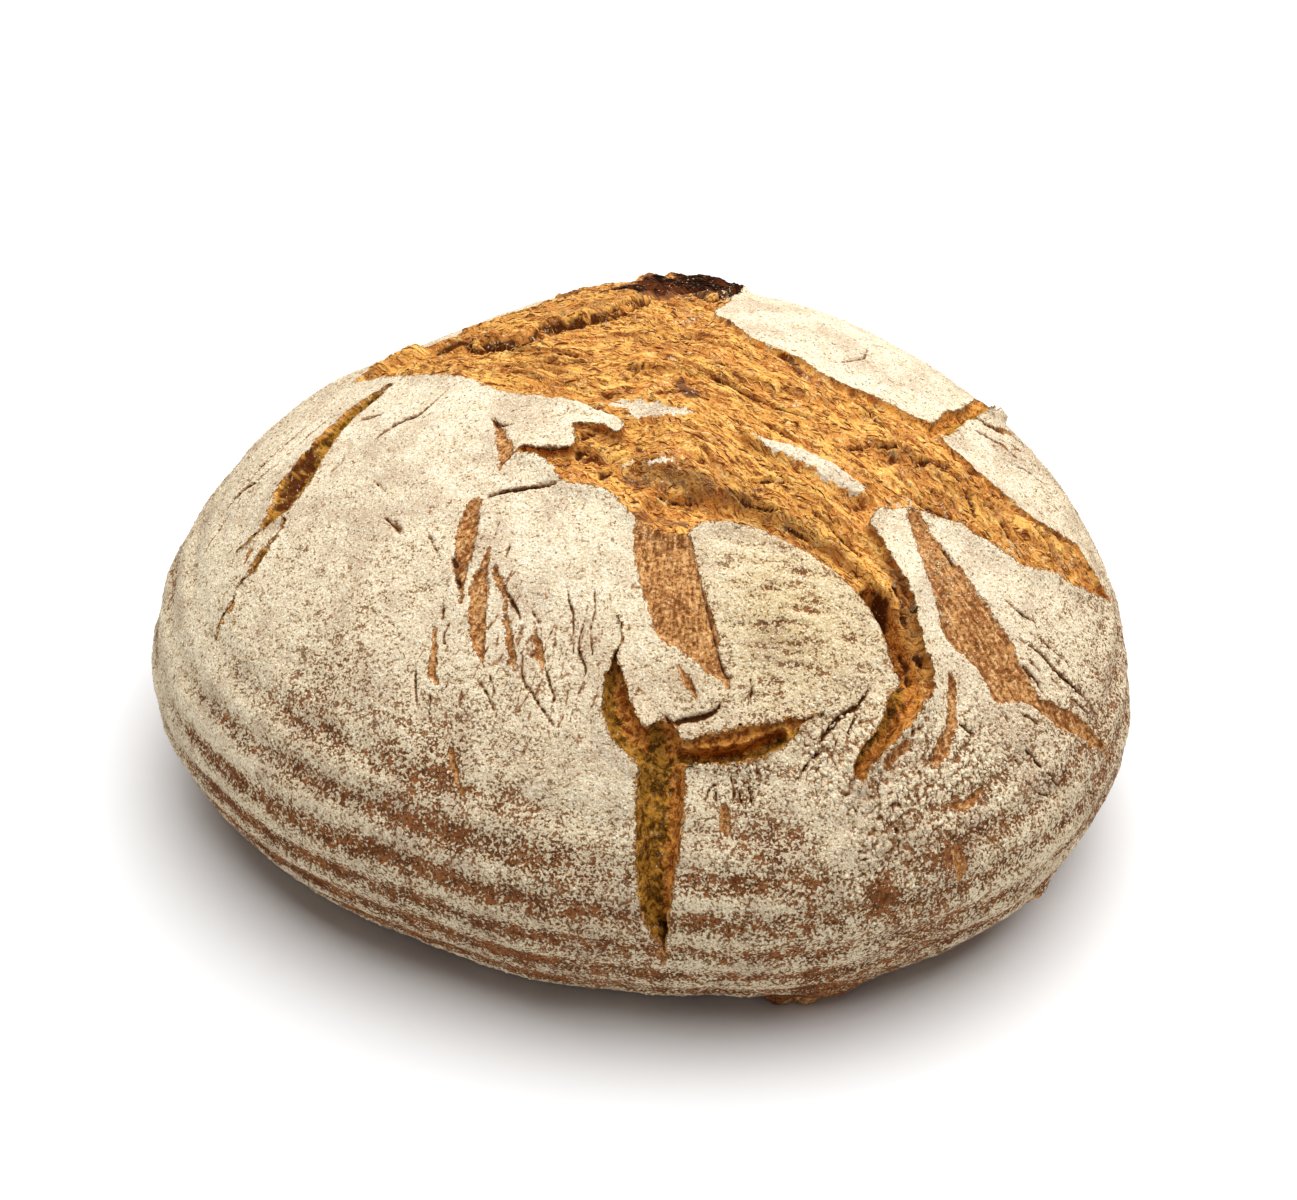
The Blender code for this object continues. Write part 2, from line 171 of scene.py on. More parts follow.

# Splits: points (x, y, half width), then the depth, and how far the crumb's golden side reaches over; the golden
# side is painted light and the olive side painted shade
SPLITS = [
    ([(-78.5, 21, 1.5), (-84, 17, 3.8), (-90, 12, 3.5), (-95, 6, 4.6), (-99, 0, 5.2), (-103, -6, 6),
      (-107, -11, 3.6), (-111, -13.5, 1.6), (-116, -16, 1), (-120, -16, 0.6)], 3.8, -0.45),
    ([(-105.5, -16, 0.4), (-106.5, -19.5, 0.6), (-110, -22, 1.2), (-113, -25, 1.9), (-117, -28, 1.4),
      (-121, -29, 0.8), (-123, -33, 1.2), (-127, -36, 0.9), (-130, -39, 0.5)], 3.0, 0.5),
    ([(-17, -86.5, 0.5), (-15.4, -90, 0.8), (-15.4, -94, 0.8), (-17, -97.5, 1.6), (-16.4, -102, 3.2),
      (-16, -107, 4.7), (-13.8, -112, 5.2), (-10.5, -116, 5), (-5, -119, 4.5), (0, -121, 4.5)], 4.8, 0.45),
    ([(0, -120, 3), (10, -118.5, 3.6), (20, -116, 4.3), (30, -112.3, 4.5), (36, -108.5, 3), (41, -104.5, 1.3),
      (45.5, -101, 0.4)], 1.7, 0.5),
    ([(4, -120, 1.4), (10, -119.8, 2), (20, -118, 2.5), (28, -114.8, 2.4), (35, -109.8, 1.8)], 7.0, 0.1),
    ([(0, -119, 7.4), (0.5, -126, 8.6), (1, -135, 8.3), (1.5, -145, 7.6), (2, -153, 6.4), (3, -160, 4.8),
      (5, -166, 2.6), (6.5, -171, 1), (8, -174, 0.5)], 7.0, 0.0),
    ([(54, -66, 3), (60, -73, 4), (66, -82, 5), (68, -88, 4.6), (65, -96, 4), (61, -105, 3),
      (58, -111, 1.2)], 4.5, 0.2),
    ([(54, -65, 1.2), (57.5, -67.5, 2.2), (61, -71.5, 2.2), (64, -77, 1.2)], 6.5, 0.1),
    ([(72, -5, 3), (76, 0, 3.2), (79, 5, 3), (83, 10, 2.5), (87, 15, 2.5), (91, 22, 2.6), (95, 30, 2.6),
      (104, 44, 2.2)], 1.7, 0.5),
    ([(-34, 118, 1), (-12, 126, 3.2), (12, 129, 4.2), (34, 123, 3), (58, 112, 0.9)], 5.0, 0.0),
    ([(-112, 66, 0.8), (-106, 80, 2.4), (-94, 96, 3), (-88, 112, 0.9)], 4.0, 0.2),
]

# Bare areas where the floured skin has pulled apart, as outlines
BARE_AREAS = [
    [(-12, -56), (-13.5, -66), (-12, -75), (-10, -80), (-7, -86), (-4.5, -91), (-1.5, -93.6), (2.5, -94.6),
     (5.5, -96.5), (9.5, -97.5), (11.5, -99.8), (15, -100.4), (18.5, -102.5), (19, -99.7), (16.3, -98.3),
     (14.8, -94), (14, -89), (11.5, -84.5), (8.5, -78), (6.5, -72), (4.5, -66), (3, -58)],
    [(60, -40.5), (62, -45), (65, -52), (71, -63), (75, -70.5), (80, -72.3), (84, -73.2), (89, -76), (94, -79.5),
     (98, -77.2), (104, -75.3), (115, -75), (121, -73.6), (130, -71), (142, -67.5), (150, -64), (138, -66.5),
     (126, -67.2), (118, -68.6), (110, -70.6), (106, -71.2), (103, -69), (99, -66.6), (95, -62.5), (90, -58.8),
     (84, -54.8), (78, -50.5), (70, -45.5), (64, -41)],
]

# Bare bands, as points (x, y, half width)
SCARS = [
    [(-57, -40, 1.5), (-59, -45, 2.6), (-60.5, -52, 2.9), (-62, -60, 2.2), (-62.3, -66, 1), (-62.8, -71, 0.4)],
    [(-54.5, -57, 0.4), (-56, -62, 1.2), (-57.8, -68, 2.5), (-58.2, -76, 2.5), (-58.3, -82, 2.2), (-57.3, -88, 1),
     (-57, -92, 0.4)],
    [(-53.5, -64, 0.5), (-53, -66.5, 1.1), (-52, -70, 1.3), (-50.6, -75, 0.7), (-50.5, -80, 0.8),
     (-49.5, -86, 1.2), (-48.5, -92, 1.2), (-48, -95, 0.4)],
    [(-42, -87, 0.6), (-41, -91, 1.4), (-39.5, -96, 1.1)],
    [(-70, -74, 0.5), (-70.5, -80, 0.8), (-71.5, -87, 1.1), (-70, -91, 0.5)],
    [(-49.5, -12, 0.5), (-48.5, -17, 1), (-48, -22, 1.8), (-48, -27, 1.8), (-50, -32, 0.6)],
    [(3, -99, 0.5), (6, -102, 1.3), (9, -105.5, 0.8)], [(21.5, -130.5, 1.6), (22, -134.5, 2)],
    [(78.5, -79, 1), (80.5, -86, 1.6), (81.5, -92, 1.8), (80, -98, 2.2), (78.5, -102, 1)],
    [(70, -100, 1), (67, -105, 1.2), (65, -108, 0.8)],
    [(95.5, -101, 0.4), (93, -105, 1.2), (89, -108.5, 1), (84, -110.5, 0.5)],
    [(92, -119, 1.5), (95, -121.5, 2.2), (97, -124, 1.2)],
    [(-115, -18, 0.4), (-117, -20, 0.8), (-118.5, -23, 0.4)],
    [(-67, -110, 0.7), (-65.5, -117, 1), (-64, -122, 0.4)],
    [(92, 15, 0.8), (98, 19, 1.4), (104, 25, 1.2), (108, 30, 0.8)],
    [(88, 7, 0.5), (93, 8, 0.9), (100, 9.5, 0.9), (103, 9, 0.5)], [(104, 15, 0.6), (107, 17, 0.6)],
    [(5, -173, 1.6), (6, -175.5, 1.3)], [(70, 88, 1), (78, 97, 3.5), (80, 112, 4), (74, 128, 1.2)],
    [(66, -206, 4), (76, -201, 7), (86, -195, 8), (96, -189, 5)], [(155, -115, 3.5), (161, -110, 3.5)],
]

# Narrow dark cracks in the skin: half width, then points
CRACKS = [
    (0.9, [(-37, -9.5), (-31, -11.5), (-27, -15), (-23.5, -19.5), (-20, -24)]),
    (0.8, [(-44, -25.5), (-40, -28), (-35, -30.3), (-32, -31.3)]), (0.7, [(-50, -12), (-48, -16), (-45, -17)]),
    (0.9, [(-54, -40), (-50, -40), (-46, -41), (-40, -42.5), (-36, -44)]),
    (0.8, [(-80, -3), (-74, -0.5), (-68, -0.5), (-61, 6)]),
    (1.0, [(0, -110.5), (3, -112), (7, -111.5), (12, -110), (15.5, -108), (16.5, -106.5)]),
    (0.5, [(8, -78), (11, -86), (13.5, -92), (16.5, -98.5), (18.8, -99.8)]),
    (0.5, [(15, -129.5), (16, -126.5), (18.5, -124.5)]), (0.4, [(18, -127), (18.5, -129.5)]),
    (0.5, [(22, -123), (23.5, -126), (23, -129)]), (0.4, [(25, -126), (26, -128)]),
    (0.5, [(27, -123), (28.5, -126), (29, -127.5)]), (0.5, [(24.5, -99), (25, -102), (24.5, -105)]),
    (0.9, [(57, -91), (54, -97), (50, -101), (47.5, -105), (45.5, -108.5)]), (0.5, [(54.5, -99), (53, -104)]),
    (0.5, [(47, -110), (44, -113), (42.5, -116), (41, -119)]),
    (0.6, [(-51.5, -71), (-49.5, -75), (-47.5, -79), (-46.5, -82)]), (0.4, [(-49.5, -59), (-50.5, -63)]),
    (0.4, [(-43, -81), (-41, -84.5)]), (0.5, [(-33, -77), (-32, -81), (-30.5, -86), (-30, -95)]),
    (0.5, [(-45.5, -92), (-45.5, -97), (-44, -101)]), (0.5, [(-38.5, -97), (-37, -101), (-35, -106)]),
    (0.4, [(-67.5, -70), (-68, -73)]), (0.5, [(-66, -75), (-68, -79), (-67, -82)]),
    (0.4, [(-76, -82), (-76.5, -88), (-76.5, -95)]), (0.4, [(-72.5, -93), (-73, -98)]),
    (0.4, [(-55, -95), (-53.5, -100)]), (0.3, [(-77, -36), (-75.5, -41)]), (0.3, [(-69.5, -45), (-67, -55)]),
    (0.3, [(-52, -50), (-53, -54)]), (0.3, [(-74, -60), (-73, -62), (-70, -62)]),
    (0.6, [(92, -52), (97, -53), (102.5, -52.5)]),
    (0.7, [(97.5, -60.5), (105, -60), (112.5, -61.5), (122, -61), (132, -61.5)]),
    (0.6, [(99.5, -66.5), (105, -68), (109.5, -70.5)]),
    (0.5, [(101, -56.5), (106, -56.5), (111, -56.5), (119, -56)]), (0.4, [(102, -64), (106, -64.8)]),
    (0.4, [(110, -64.3), (115, -64.5)]), (0.5, [(118, -65), (122, -64.3), (127, -64.7)]),
    (0.4, [(130.5, -58.8), (135, -58.2)]), (0.4, [(127, -61.5), (131, -62)]),
    (0.5, [(100, -78.8), (104, -78.2), (109, -78.4)]), (0.6, [(106, -86.3), (112, -87.8)]),
    (0.5, [(115, -87.6), (121, -88.2)]),
    (0.4, [(113, -89.5), (118, -90.3), (119, -92), (113, -94), (108, -93.5)]), (0.4, [(124, -73.5), (129, -73)]),
    (0.4, [(96, -81), (98, -82.3)]), (0.4, [(70.5, -98), (73, -94.5)]), (0.5, [(84, -89.5), (88.5, -90)]),
    (0.6, [(75, -50), (72, -47)]), (0.6, [(100, -66.5), (104, -69)]),
    (0.9, [(-121, 9), (-117, 13.5), (-112, 18), (-105, 22), (-99, 26)]),
    (0.9, [(-127, 7), (-121, 10), (-116, 9.5), (-111, 11)]), (0.8, [(-106, 13), (-101, 17), (-95, 21)]),
    (0.4, [(-94, 24.5), (-91, 25)]), (0.5, [(-100, 11), (-95, 12)]), (0.5, [(-132, -4), (-124, 4)]),
    (0.6, [(-84, 9), (-79, 7.5)]), (0.4, [(-81, -19), (-79.5, -22), (-78, -25)]), (0.4, [(-79, -34), (-76, -41)]),
    (0.4, [(-92, -8), (-89, -6)]), (0.5, [(-27, -87), (-28.5, -94), (-26, -99), (-26, -101)]),
    (0.5, [(-44, -100), (-40, -106), (-35, -112)]), (0.4, [(-59, -94), (-56, -99), (-53, -106)]),
    (0.4, [(-24.5, -80), (-24, -85), (-25, -90), (-24, -96)]),
    (0.8, [(84, 10), (92, 15.5), (99, 20.5), (108.5, 26.5), (117, 34)]),
    (0.8, [(88.5, 7.5), (94, 8.5), (104, 9)]), (0.5, [(80.5, 0.5), (82, -1.5)]),
    (0.5, [(98, 2), (106, 5), (116, 6)]), (0.4, [(110, -4), (120, -3)]),
    (0.4, [(42, 10.5), (47, 13), (50, 16), (54, 20), (56, 26), (57, 30)]), (0.4, [(60, 35), (66, 40)]),
    (0.8, [(-64, -56), (-63.5, -59)]), (0.6, [(-63.5, -61.5), (-63, -66)]),
]

# Hollows beside a plate: points (x, y, half width), then the depth
HOLLOWS = [
    ([(-8, -56, 5), (12, -54, 6), (32, -57, 6), (47, -63, 6), (57, -70, 7), (65, -83, 5)], 3.6),
    ([(-58, 29, 3), (-46, 21, 4), (-34, 25, 4), (-22, 28, 4), (-12, 37, 3), (-4, 47, 3)], 1.8),
    ([(-28, -38, 6), (-16, -46, 7), (0, -50, 6)], 2.0), ([(-10, 49, 4), (0, 53, 5), (10, 56, 4)], 2.4),
]

# Crests over the torn inside: points (x, y, half width), then the height
CRESTS = [
    ([(-8, 68, 7), (6, 71, 10), (20, 68, 7)], 2.2), ([(-84, 43, 5), (-76, 44, 5)], 4.5),
    ([(94, 29, 3.5), (99, 34, 3.5)], 2.0), ([(105, 40, 2.5), (108, 43, 2)], 2.4),
    ([(18, -30, 2.5), (30, -33, 4), (42, -36, 4), (50, -38, 2)], 2.2),
    ([(-12, -4, 3), (5, -5, 4), (28, -7, 4), (50, -8, 4)], 1.8),
    ([(52, -20, 4), (80, -22, 5), (108, -24, 4)], 1.8),
]

# Creases and holes in the torn inside, dropped and darkened with painted shade: half width, then points
CREVICES = [
    (2.2, [(-55, 28), (-50, 24.5), (-44, 22), (-40, 24)]), (2.2, [(-38, 27), (-34, 27.5), (-29, 29)]),
    (2.4, [(-27, 29), (-23, 31), (-18, 36)]), (2.1, [(-17, 36), (-13, 41), (-9, 48)]),
    (1.0, [(-14, -7), (-9, -3), (-4, -1.5), (2, -3), (10, -4), (18, -4), (26, -7)]),
    (0.9, [(-4, -2.5), (5, -7), (12, -10), (17, -13.5), (25, -16), (33, -18), (40, -19.5)]),
    (0.9, [(28, 3), (36, -0.5), (44, -4)]), (1.0, [(39, -6), (45, -6.5)]),
    (2.8, [(45, -4.5), (48, -6.5), (52, -8.5)]), (1.3, [(52, -22), (60, -20.5), (63, -23), (68, -20), (75, -20)]),
    (0.9, [(79, -19), (85, -21)]), (0.9, [(85, -25), (91, -24.5)]), (1.0, [(92, -27), (97, -30)]),
    (1.2, [(103, -22), (108, -24.5), (114, -27)]), (0.9, [(68, -29.5), (75, -28), (77, -31)]),
    (0.8, [(79, -25), (82, -30)]), (0.8, [(20, -22.5), (25, -24), (30, -27)]),
    (0.9, [(40, -26), (46, -24), (50, -22)]), (1.1, [(19, -44), (24, -42), (29, -41)]),
    (0.7, [(-22, 17), (-15, 14)]), (0.8, [(-14, 12), (-10, 6)]), (0.7, [(-8, 14), (-5, 9)]),
    (1.4, [(-29, -26.5), (-27, -26.7)]), (1.6, [(-30.5, -32), (-28.5, -32)]), (1.6, [(-25, -41), (-23, -41)]),
    (0.6, [(-12, -50), (-4, -52), (3, -51)]), (0.6, [(14, -48), (20, -50), (28, -50)]),
    (0.7, [(30, -53), (36, -55)]), (0.9, [(36, -48), (46, -53), (52, -58)]),
    (1.6, [(55, -63.5), (58.5, -66.5), (61.5, -70)]), (0.8, [(66, -76), (68.5, -80), (69.5, -84)]),
    (2.4, [(-98, 8), (-102, 2), (-105.5, -4), (-109, -9.5)]), (1.6, [(55, -99), (53, -103), (51, -107)]),
    (1.2, [(60, -62), (63, -65.5)]), (1.1, [(63, -67.5), (65, -70.5)]), (1.0, [(69, -77), (71, -78.5)]),
    (1.2, [(60, -91), (61.5, -94)]), (1.0, [(60, -32), (72, -34), (86, -36)]), (0.9, [(2, 12), (10, 7), (20, 4)]),
    (0.8, [(-44, 8), (-34, 6), (-24, 2)]), (0.8, [(-50, 21), (-40, 14), (-32, 8), (-24, 3)]),
    (0.8, [(-12, 16), (0, 13), (11, 10)]), (0.8, [(31, 0), (44, -6), (54, -11.5), (62, -16)]),
    (0.8, [(6, 40), (14, 30), (22, 21)]), (0.8, [(66, -20), (78, -22), (92, -23)]),
]

# Scorched patches: points (x, y, half width), then how dark
SCORCHED = [
    ([(-77, 27, 2.5), (-68, 19, 2.6), (-60, 12, 1.6)], 0.9),
    ([(14, -57, 1.8), (24, -58, 2.8), (33, -59.8, 3), (40, -62.5, 2.6), (45, -65, 1.4)], 1.0),
    ([(-17, -57, 2.2), (-8, -59, 3), (2, -60, 1.6)], 0.7), ([(-1.5, -14, 4), (1.5, -16, 4)], 1.1),
    ([(-17, -45, 2.4), (-14, -46, 2)], 0.8), ([(13, 20, 1.6), (15, 24, 1.4)], 0.9),
    ([(30, 6, 1.5), (34, 2, 1.6)], 0.9),
    # The first band on the next line, over the burnt ear, is partly charring and partly painted shade, widened to
    # where the ear curls over
    ([(-20, 50, 3), (-8, 58, 9), (4, 62, 13), (17, 60, 12), (24, 64, 7)], 2.5), ([(8, 48, 3), (13, 56, 4)], 1.3),
    ([(-60, 52, 6), (-40, 58, 8), (-20, 66, 9)], 0.6), ([(-38, 34, 5), (-24, 38, 6), (-14, 48, 5)], 0.5),
    ([(0, 34, 7), (4, 46, 6)], 0.5), ([(14, 30, 3), (15, 44, 3)], 0.5), ([(50, 1, 3), (64, -2, 2.5)], 0.5),
    ([(52, -24, 3), (70, -18, 4), (86, -20, 4)], 0.35), ([(-14, -44, 5), (2, -48, 5), (18, -50, 4)], 0.62),
    ([(-19, 14, 3), (-11, 17, 3.4)], 0.45), ([(55, -46, 2.5), (60, -60, 3), (66, -72, 3), (70, -82, 2.5)], 0.5),
    ([(100, -16, 3), (116, -18, 3), (130, -19, 3)], 0.5), ([(20, -54, 6), (44, -56, 6)], 0.35),
]

# Floured skin left on the torn inside, as outlines and as bands
SKIN_ISLANDS = [
    [(-24, -15.8), (-18, -16.6), (-12, -18.6), (-7, -20.6), (-4, -22.6), (2.5, -24.5), (-1, -26), (-6, -25.9),
     (-12, -24.9), (-15.5, -24), (-17, -21.5), (-19, -19.2), (-22, -17.2)],
    [(20, -30), (27, -29.4), (35, -31), (42, -33), (47, -35.5), (49.5, -38), (45, -39), (39, -38.9), (36, -37.5),
     (33, -35.5), (27, -34.2), (22, -32.6)],
]
SKIN_STRIPS = [[(-18.5, -40.5, 0.7), (-16, -40.6, 0.6)], [(-10, -42, 0.5), (-6.5, -42.4, 0.9), (-3, -42, 0.5)]]

# Light dustings of flour on the torn inside, and more or less flour on the skin: (x, y, radius, change)
TORN_DUST = [
    (3, 26, 6, 0.4), (62, -38, 4, 0.5), (74, -35, 6, 0.25), (112, -26, 7, 0.25), (20, 54, 6, 0.5),
    (-6, -42, 6, 0.2), (36, 0, 5, 0.25), (96, -33, 5, 0.25),
]
SKIN_FLOUR = [
    (74, -138, 4.5, -0.7), (92, -121, 4, -0.5), (-70, -112, 6, -0.15), (-146, -34, 30, 0.32),
    (-128, -72, 18, 0.1), (-100, -60, 42, -0.12), (-60, -120, 34, -0.08), (84, -198, 14, -0.7),
    (101, -188, 10, -0.7), (72, -204, 8, -0.7), (160, -113, 9, -0.7), (-130, 20, 26, 0.12), (40, -142, 14, -0.18),
    (-40, -140, 16, -0.1), (140, -112, 30, 0.14), (62, -126, 12, 0.22), (40, -150, 8, 0.18),
    (-20, -128, 12, 0.12), (60, 30, 40, 0.2), (105, -50, 25, 0.1), (-30, -68, 24, 0.14), (-60, 0, 30, 0.05),
    (22, -123, 10, -0.12), (-96, 14, 16, 0.16), (-52, -110, 16, 0.08), (64, -60, 10, 0.2),
]

# Plates and swells of the crust, as (x, y, radius, height)
SWELLS = [
    (32, -82, 26, 2.4), (-28, -72, 26, 1.6), (64, -58, 14, 1.2), (-150, 50, 45, 0.7), (24, 24, 22, 1.0),
    (-60, -190, 45, 1.8), (120, -158, 32, -1.4), (-142, -145, 36, -1.3), (-62, 66, 26, -2.2), (80, 66, 28, -1.5),
    (-104, 62, 16, 1.6), (-176, -32, 24, 1.6), (170, -56, 22, 1.4), (90, -178, 14, 1.4), (84, -196, 9, 5.5),
    (97, -188, 7, 3.6), (71, -203, 7, 5.5), (158, -113, 5, 3.4),
]

# Where the skin is dried into chunks, and into long reeds: (x, y, radius, strength)
CHUNKED = [
    (60, -112, 18, 1.0), (84, -104, 20, 0.8), (28, -121, 9, 0.8), (74, -130, 16, 0.6), (46, -106, 9, 0.6),
    (100, -92, 18, 0.45), (112, -58, 24, 0.45), (-112, 10, 13, 0.5), (104, 14, 24, 0.6), (60, 122, 40, 0.5),
]
REEDED = [(-42, -92, 20, 1.0), (-54, -74, 11, 0.7), (-30, -102, 15, 0.7), (-66, -92, 12, 0.6), (-24, -82, 8, 0.4)]

# The torn inside: layers and fibres as (seed, size, stretch, height), and edges as (seed, spacing, height)
TORN_LAYERS = ((31, 9.0, 2.6, 1.0), (32, 5.0, 2.2, 0.55))
TORN_EDGES = ((33, 8.5, 1.0), (34, 4.6, 0.7))
TORN_FIBRES = ((35, 3.2, 2.4, 0.46), (36, 1.9, 2.2, 0.36), (37, 1.2, 1.6, 0.22))

# Where the strands tangle: (x, y, half length, half width, strength)
TANGLES = ((25, -50, 34, 8, 1.0), (-22, -38, 20, 9, 0.8))

# Flour at distances from the crown along the crust, and where it is toasted: (x, y, radius, strength)
FLOUR_ARC = [0, 100, 125, 150, 175, 200, 225]
FLOUR_AT_ARC = [0.84, 0.8, 0.66, 0.44, 0.34, 0.28, 0.1]
TOASTED_PLATE = (34, -80, 25, 1.0)
TOASTED_LOW = (0, -110, 26, 0.12)


def ease(value):
    """0 below 0, 1 above 1, and a smooth slope between."""
    value = np.clip(value, 0.0, 1.0)
    return value * value * (3.0 - 2.0 * value)


def profile():
    """Half section of the loaf: arc length from the crown, share of the radius, and height."""
    angle = np.linspace(0.0, np.pi / 2, PROFILE_STEPS)
    dome_share = np.sin(angle) ** (2 / DOME_EXPONENT)
    dome_height = BELLY_HEIGHT + (DOME_HEIGHT - BELLY_HEIGHT) * np.cos(angle) ** (2 / DOME_EXPONENT)
    low_share = FOOT_SHARE + (1 - FOOT_SHARE) * np.cos(angle) ** (2 / UNDERCUT_EXPONENT)
    low_height = BELLY_HEIGHT * (1 - np.sin(angle) ** (2 / UNDERCUT_EXPONENT))
    share = np.concatenate([dome_share, low_share[1:]])
    height = np.concatenate([dome_height, low_height[1:]])
    steps = np.hypot(np.diff(share * MEAN_RADIUS), np.diff(height))
    return np.concatenate([[0.0], np.cumsum(steps)]), share, height


ARC, SHARE, HEIGHT = profile()
CRUST_LENGTH = ARC[-1]


def smooth_dome(x, y):
    """Points of the loaf without relief: a circle with an oval and a three-sided wave, its crown leaning."""
    along = np.hypot(x, y)
    turn = np.arctan2(y, x)
    share = np.interp(along, ARC, SHARE)
    height = np.interp(along, ARC, HEIGHT)
    oval = OVAL_SHARE * np.cos(2 * (turn - OVAL_TURN))
    three_sided = THREE_SIDED_SHARE * np.cos(3 * (turn - THREE_SIDED_TURN))
    radius = MEAN_RADIUS * (1 + oval + three_sided) * share
    lean = np.clip((height - BELLY_HEIGHT) / (DOME_HEIGHT - BELLY_HEIGHT), 0.0, 1.0) ** CROWN_SHIFT_EASE
    right = radius * np.cos(turn) + CROWN_SHIFT[0] * lean - DOME_MIDDLE[0]
    back = radius * np.sin(turn) + CROWN_SHIFT[1] * lean - DOME_MIDDLE[1]
    return np.stack([right, back, height], axis=-1)


def lumps(x, y, size, seed):
    """Smooth random heights from -1 to 1: a square lattice of random values, blended by an eased slope."""
    cells = 64
    lattice = np.random.default_rng(seed).uniform(-1.0, 1.0, (cells, cells))
    across = x / size + cells / 2
    up = y / size + cells / 2
    column = np.floor(across).astype(int)
    row = np.floor(up).astype(int)
    part_x = ease(across - column)
    part_y = ease(up - row)
    left, right = column % cells, (column + 1) % cells
    front, back = row % cells, (row + 1) % cells
    near = lattice[left, front] * (1 - part_x) + lattice[right, front] * part_x
    far = lattice[left, back] * (1 - part_x) + lattice[right, back] * part_x
    return near * (1 - part_y) + far * part_y


def grain(x, y, size, seed):
    """Fine random heights of about -1 to 1: a turned lattice of random slopes, blended by an eased step."""
    cells = 256
    angle = np.random.default_rng(seed).uniform(0.0, 2 * np.pi, (cells, cells))
    lean_x, lean_y = np.cos(angle).ravel(), np.sin(angle).ravel()
    turn = 0.6 + seed
    across = (x * np.cos(turn) + y * np.sin(turn)) / size
    up = (y * np.cos(turn) - x * np.sin(turn)) / size
    column = np.floor(across).astype(int)
    row = np.floor(up).astype(int)
    part_x = across - column
    part_y = up - row
    share_x, share_y = ease(part_x), ease(part_y)
    total = 0.0
    for step_x in (0, 1):
        for step_y in (0, 1):
            here = (column + step_x) % cells * cells + (row + step_y) % cells
            height = lean_x[here] * (part_x - step_x) + lean_y[here] * (part_y - step_y)
            weight = (share_x if step_x else 1 - share_x) * (share_y if step_y else 1 - share_y)
            total = total + weight * height
    return 1.5 * total


def border(x, y, size, seed):
    """Millimetres to the border between scattered cells: half of how much further the second centre is."""
    cells = 256
    rng = np.random.default_rng(seed)
    shift_x, shift_y = rng.uniform(0.1, 0.9, cells * cells), rng.uniform(0.1, 0.9, cells * cells)
    column, row = np.floor(x / size).astype(int), np.floor(y / size).astype(int)
    nearest, second = np.full(x.shape, 9.0), np.full(x.shape, 9.0)
    for step_x in (-1, 0, 1):
        for step_y in (-1, 0, 1):
            here = (column + step_x) % cells * cells + (row + step_y) % cells
            away = np.hypot(column + step_x + shift_x[here] - x / size, row + step_y + shift_y[here] - y / size)
            second = np.minimum(second, np.maximum(nearest, away))
            nearest = np.minimum(nearest, away)
    return (second - nearest) * size / 2


class MapPoints:
    """Points of the map, sorted into square bins so that those close to a line are found at once."""

    BIN = 6.0

    def __init__(self, x, y):
        self.x, self.y = x.ravel(), y.ravel()
        self.low = np.array([self.x.min(), self.y.min()])
        column = ((self.x - self.low[0]) / self.BIN).astype(int)
        row = ((self.y - self.low[1]) / self.BIN).astype(int)
        self.most = np.array([column.max(), row.max()])
        number = column * (self.most[1] + 1) + row
        self.order = np.argsort(number, kind="stable")
        bins = (self.most[0] + 1) * (self.most[1] + 1)
        self.starts = np.searchsorted(number[self.order], np.arange(bins + 1))

    def near(self, low, high):
        """Numbers of the points in the bins that the box from low to high touches."""
        first = np.clip(((low - self.low) / self.BIN).astype(int), 0, self.most)
        last = np.clip(((high - self.low) / self.BIN).astype(int), 0, self.most)
        columns = np.arange(first[0], last[0] + 1) * (self.most[1] + 1)
        return np.concatenate([
            self.order[self.starts[column + first[1]] : self.starts[column + last[1] + 1]] for column in columns
        ])


def smooth_line(points, closed=False):
    """A Catmull-Rom curve through the points, with LINE_STEPS steps in each span."""
    points = np.array(points, float)
    if closed:
        points = np.concatenate([points[-1:], points, points[:2]])
    else:
        points = np.concatenate([2 * points[:1] - points[1:2], points, 2 * points[-1:] - points[-2:-1]])
    before, start, end, after = points[:-3], points[1:-2], points[2:-1], points[3:]
    step = np.linspace(0.0, 1.0, LINE_STEPS, endpoint=False)[None, :, None]
    before, start, end, after = (values[:, None, :] for values in (before, start, end, after))
    curve = 0.5 * (
        2 * start
        + (end - before) * step
        + (2 * before - 5 * start + 4 * end - after) * step**2
        + (3 * start - before - 3 * end + after) * step**3
    ).reshape(-1, points.shape[1])
    return curve if closed else np.concatenate([curve, points[-2:-1]])


def distance_to_span(x, y, start, end):
    """Distance of map points to one straight span, its share where it is nearest, and the side they lie on."""
    run_x, run_y = end[0] - start[0], end[1] - start[1]
    share = ((x - start[0]) * run_x + (y - start[1]) * run_y) / max(run_x**2 + run_y**2, 1e-12)
    share = np.clip(share, 0.0, 1.0)
    off_x, off_y = x - start[0] - share * run_x, y - start[1] - share * run_y
    return np.hypot(off_x, off_y), share, np.sign(off_y * run_x - off_x * run_y)


def band(spots, points, reach=9.0):
    """How deep points lie in a band: as a share, 1 on its centre line and 0 at its edge, in millimetres, and
    how far they are to the left of its run, as a share of its half width."""
    line = smooth_line(points)
    share = np.full(spots.x.shape, -reach)
    inside = np.full(spots.x.shape, -reach)
    side = np.zeros(spots.x.shape)
    for start, end in zip(line[:-1], line[1:]):
        wide = max(start[2], end[2]) + reach
        here = spots.near(np.minimum(start, end)[:2] - wide, np.maximum(start, end)[:2] + wide)
        away, part, left = distance_to_span(spots.x[here], spots.y[here], start, end)
        half_width = np.maximum(start[2] + part * (end[2] - start[2]), 0.25)
        nearer = half_width - away > inside[here]
        side[here] = np.where(nearer, left * away / half_width, side[here])
        share[here] = np.maximum(share[here], 1 - away / half_width)
        inside[here] = np.maximum(inside[here], half_width - away)
    return share, inside, side


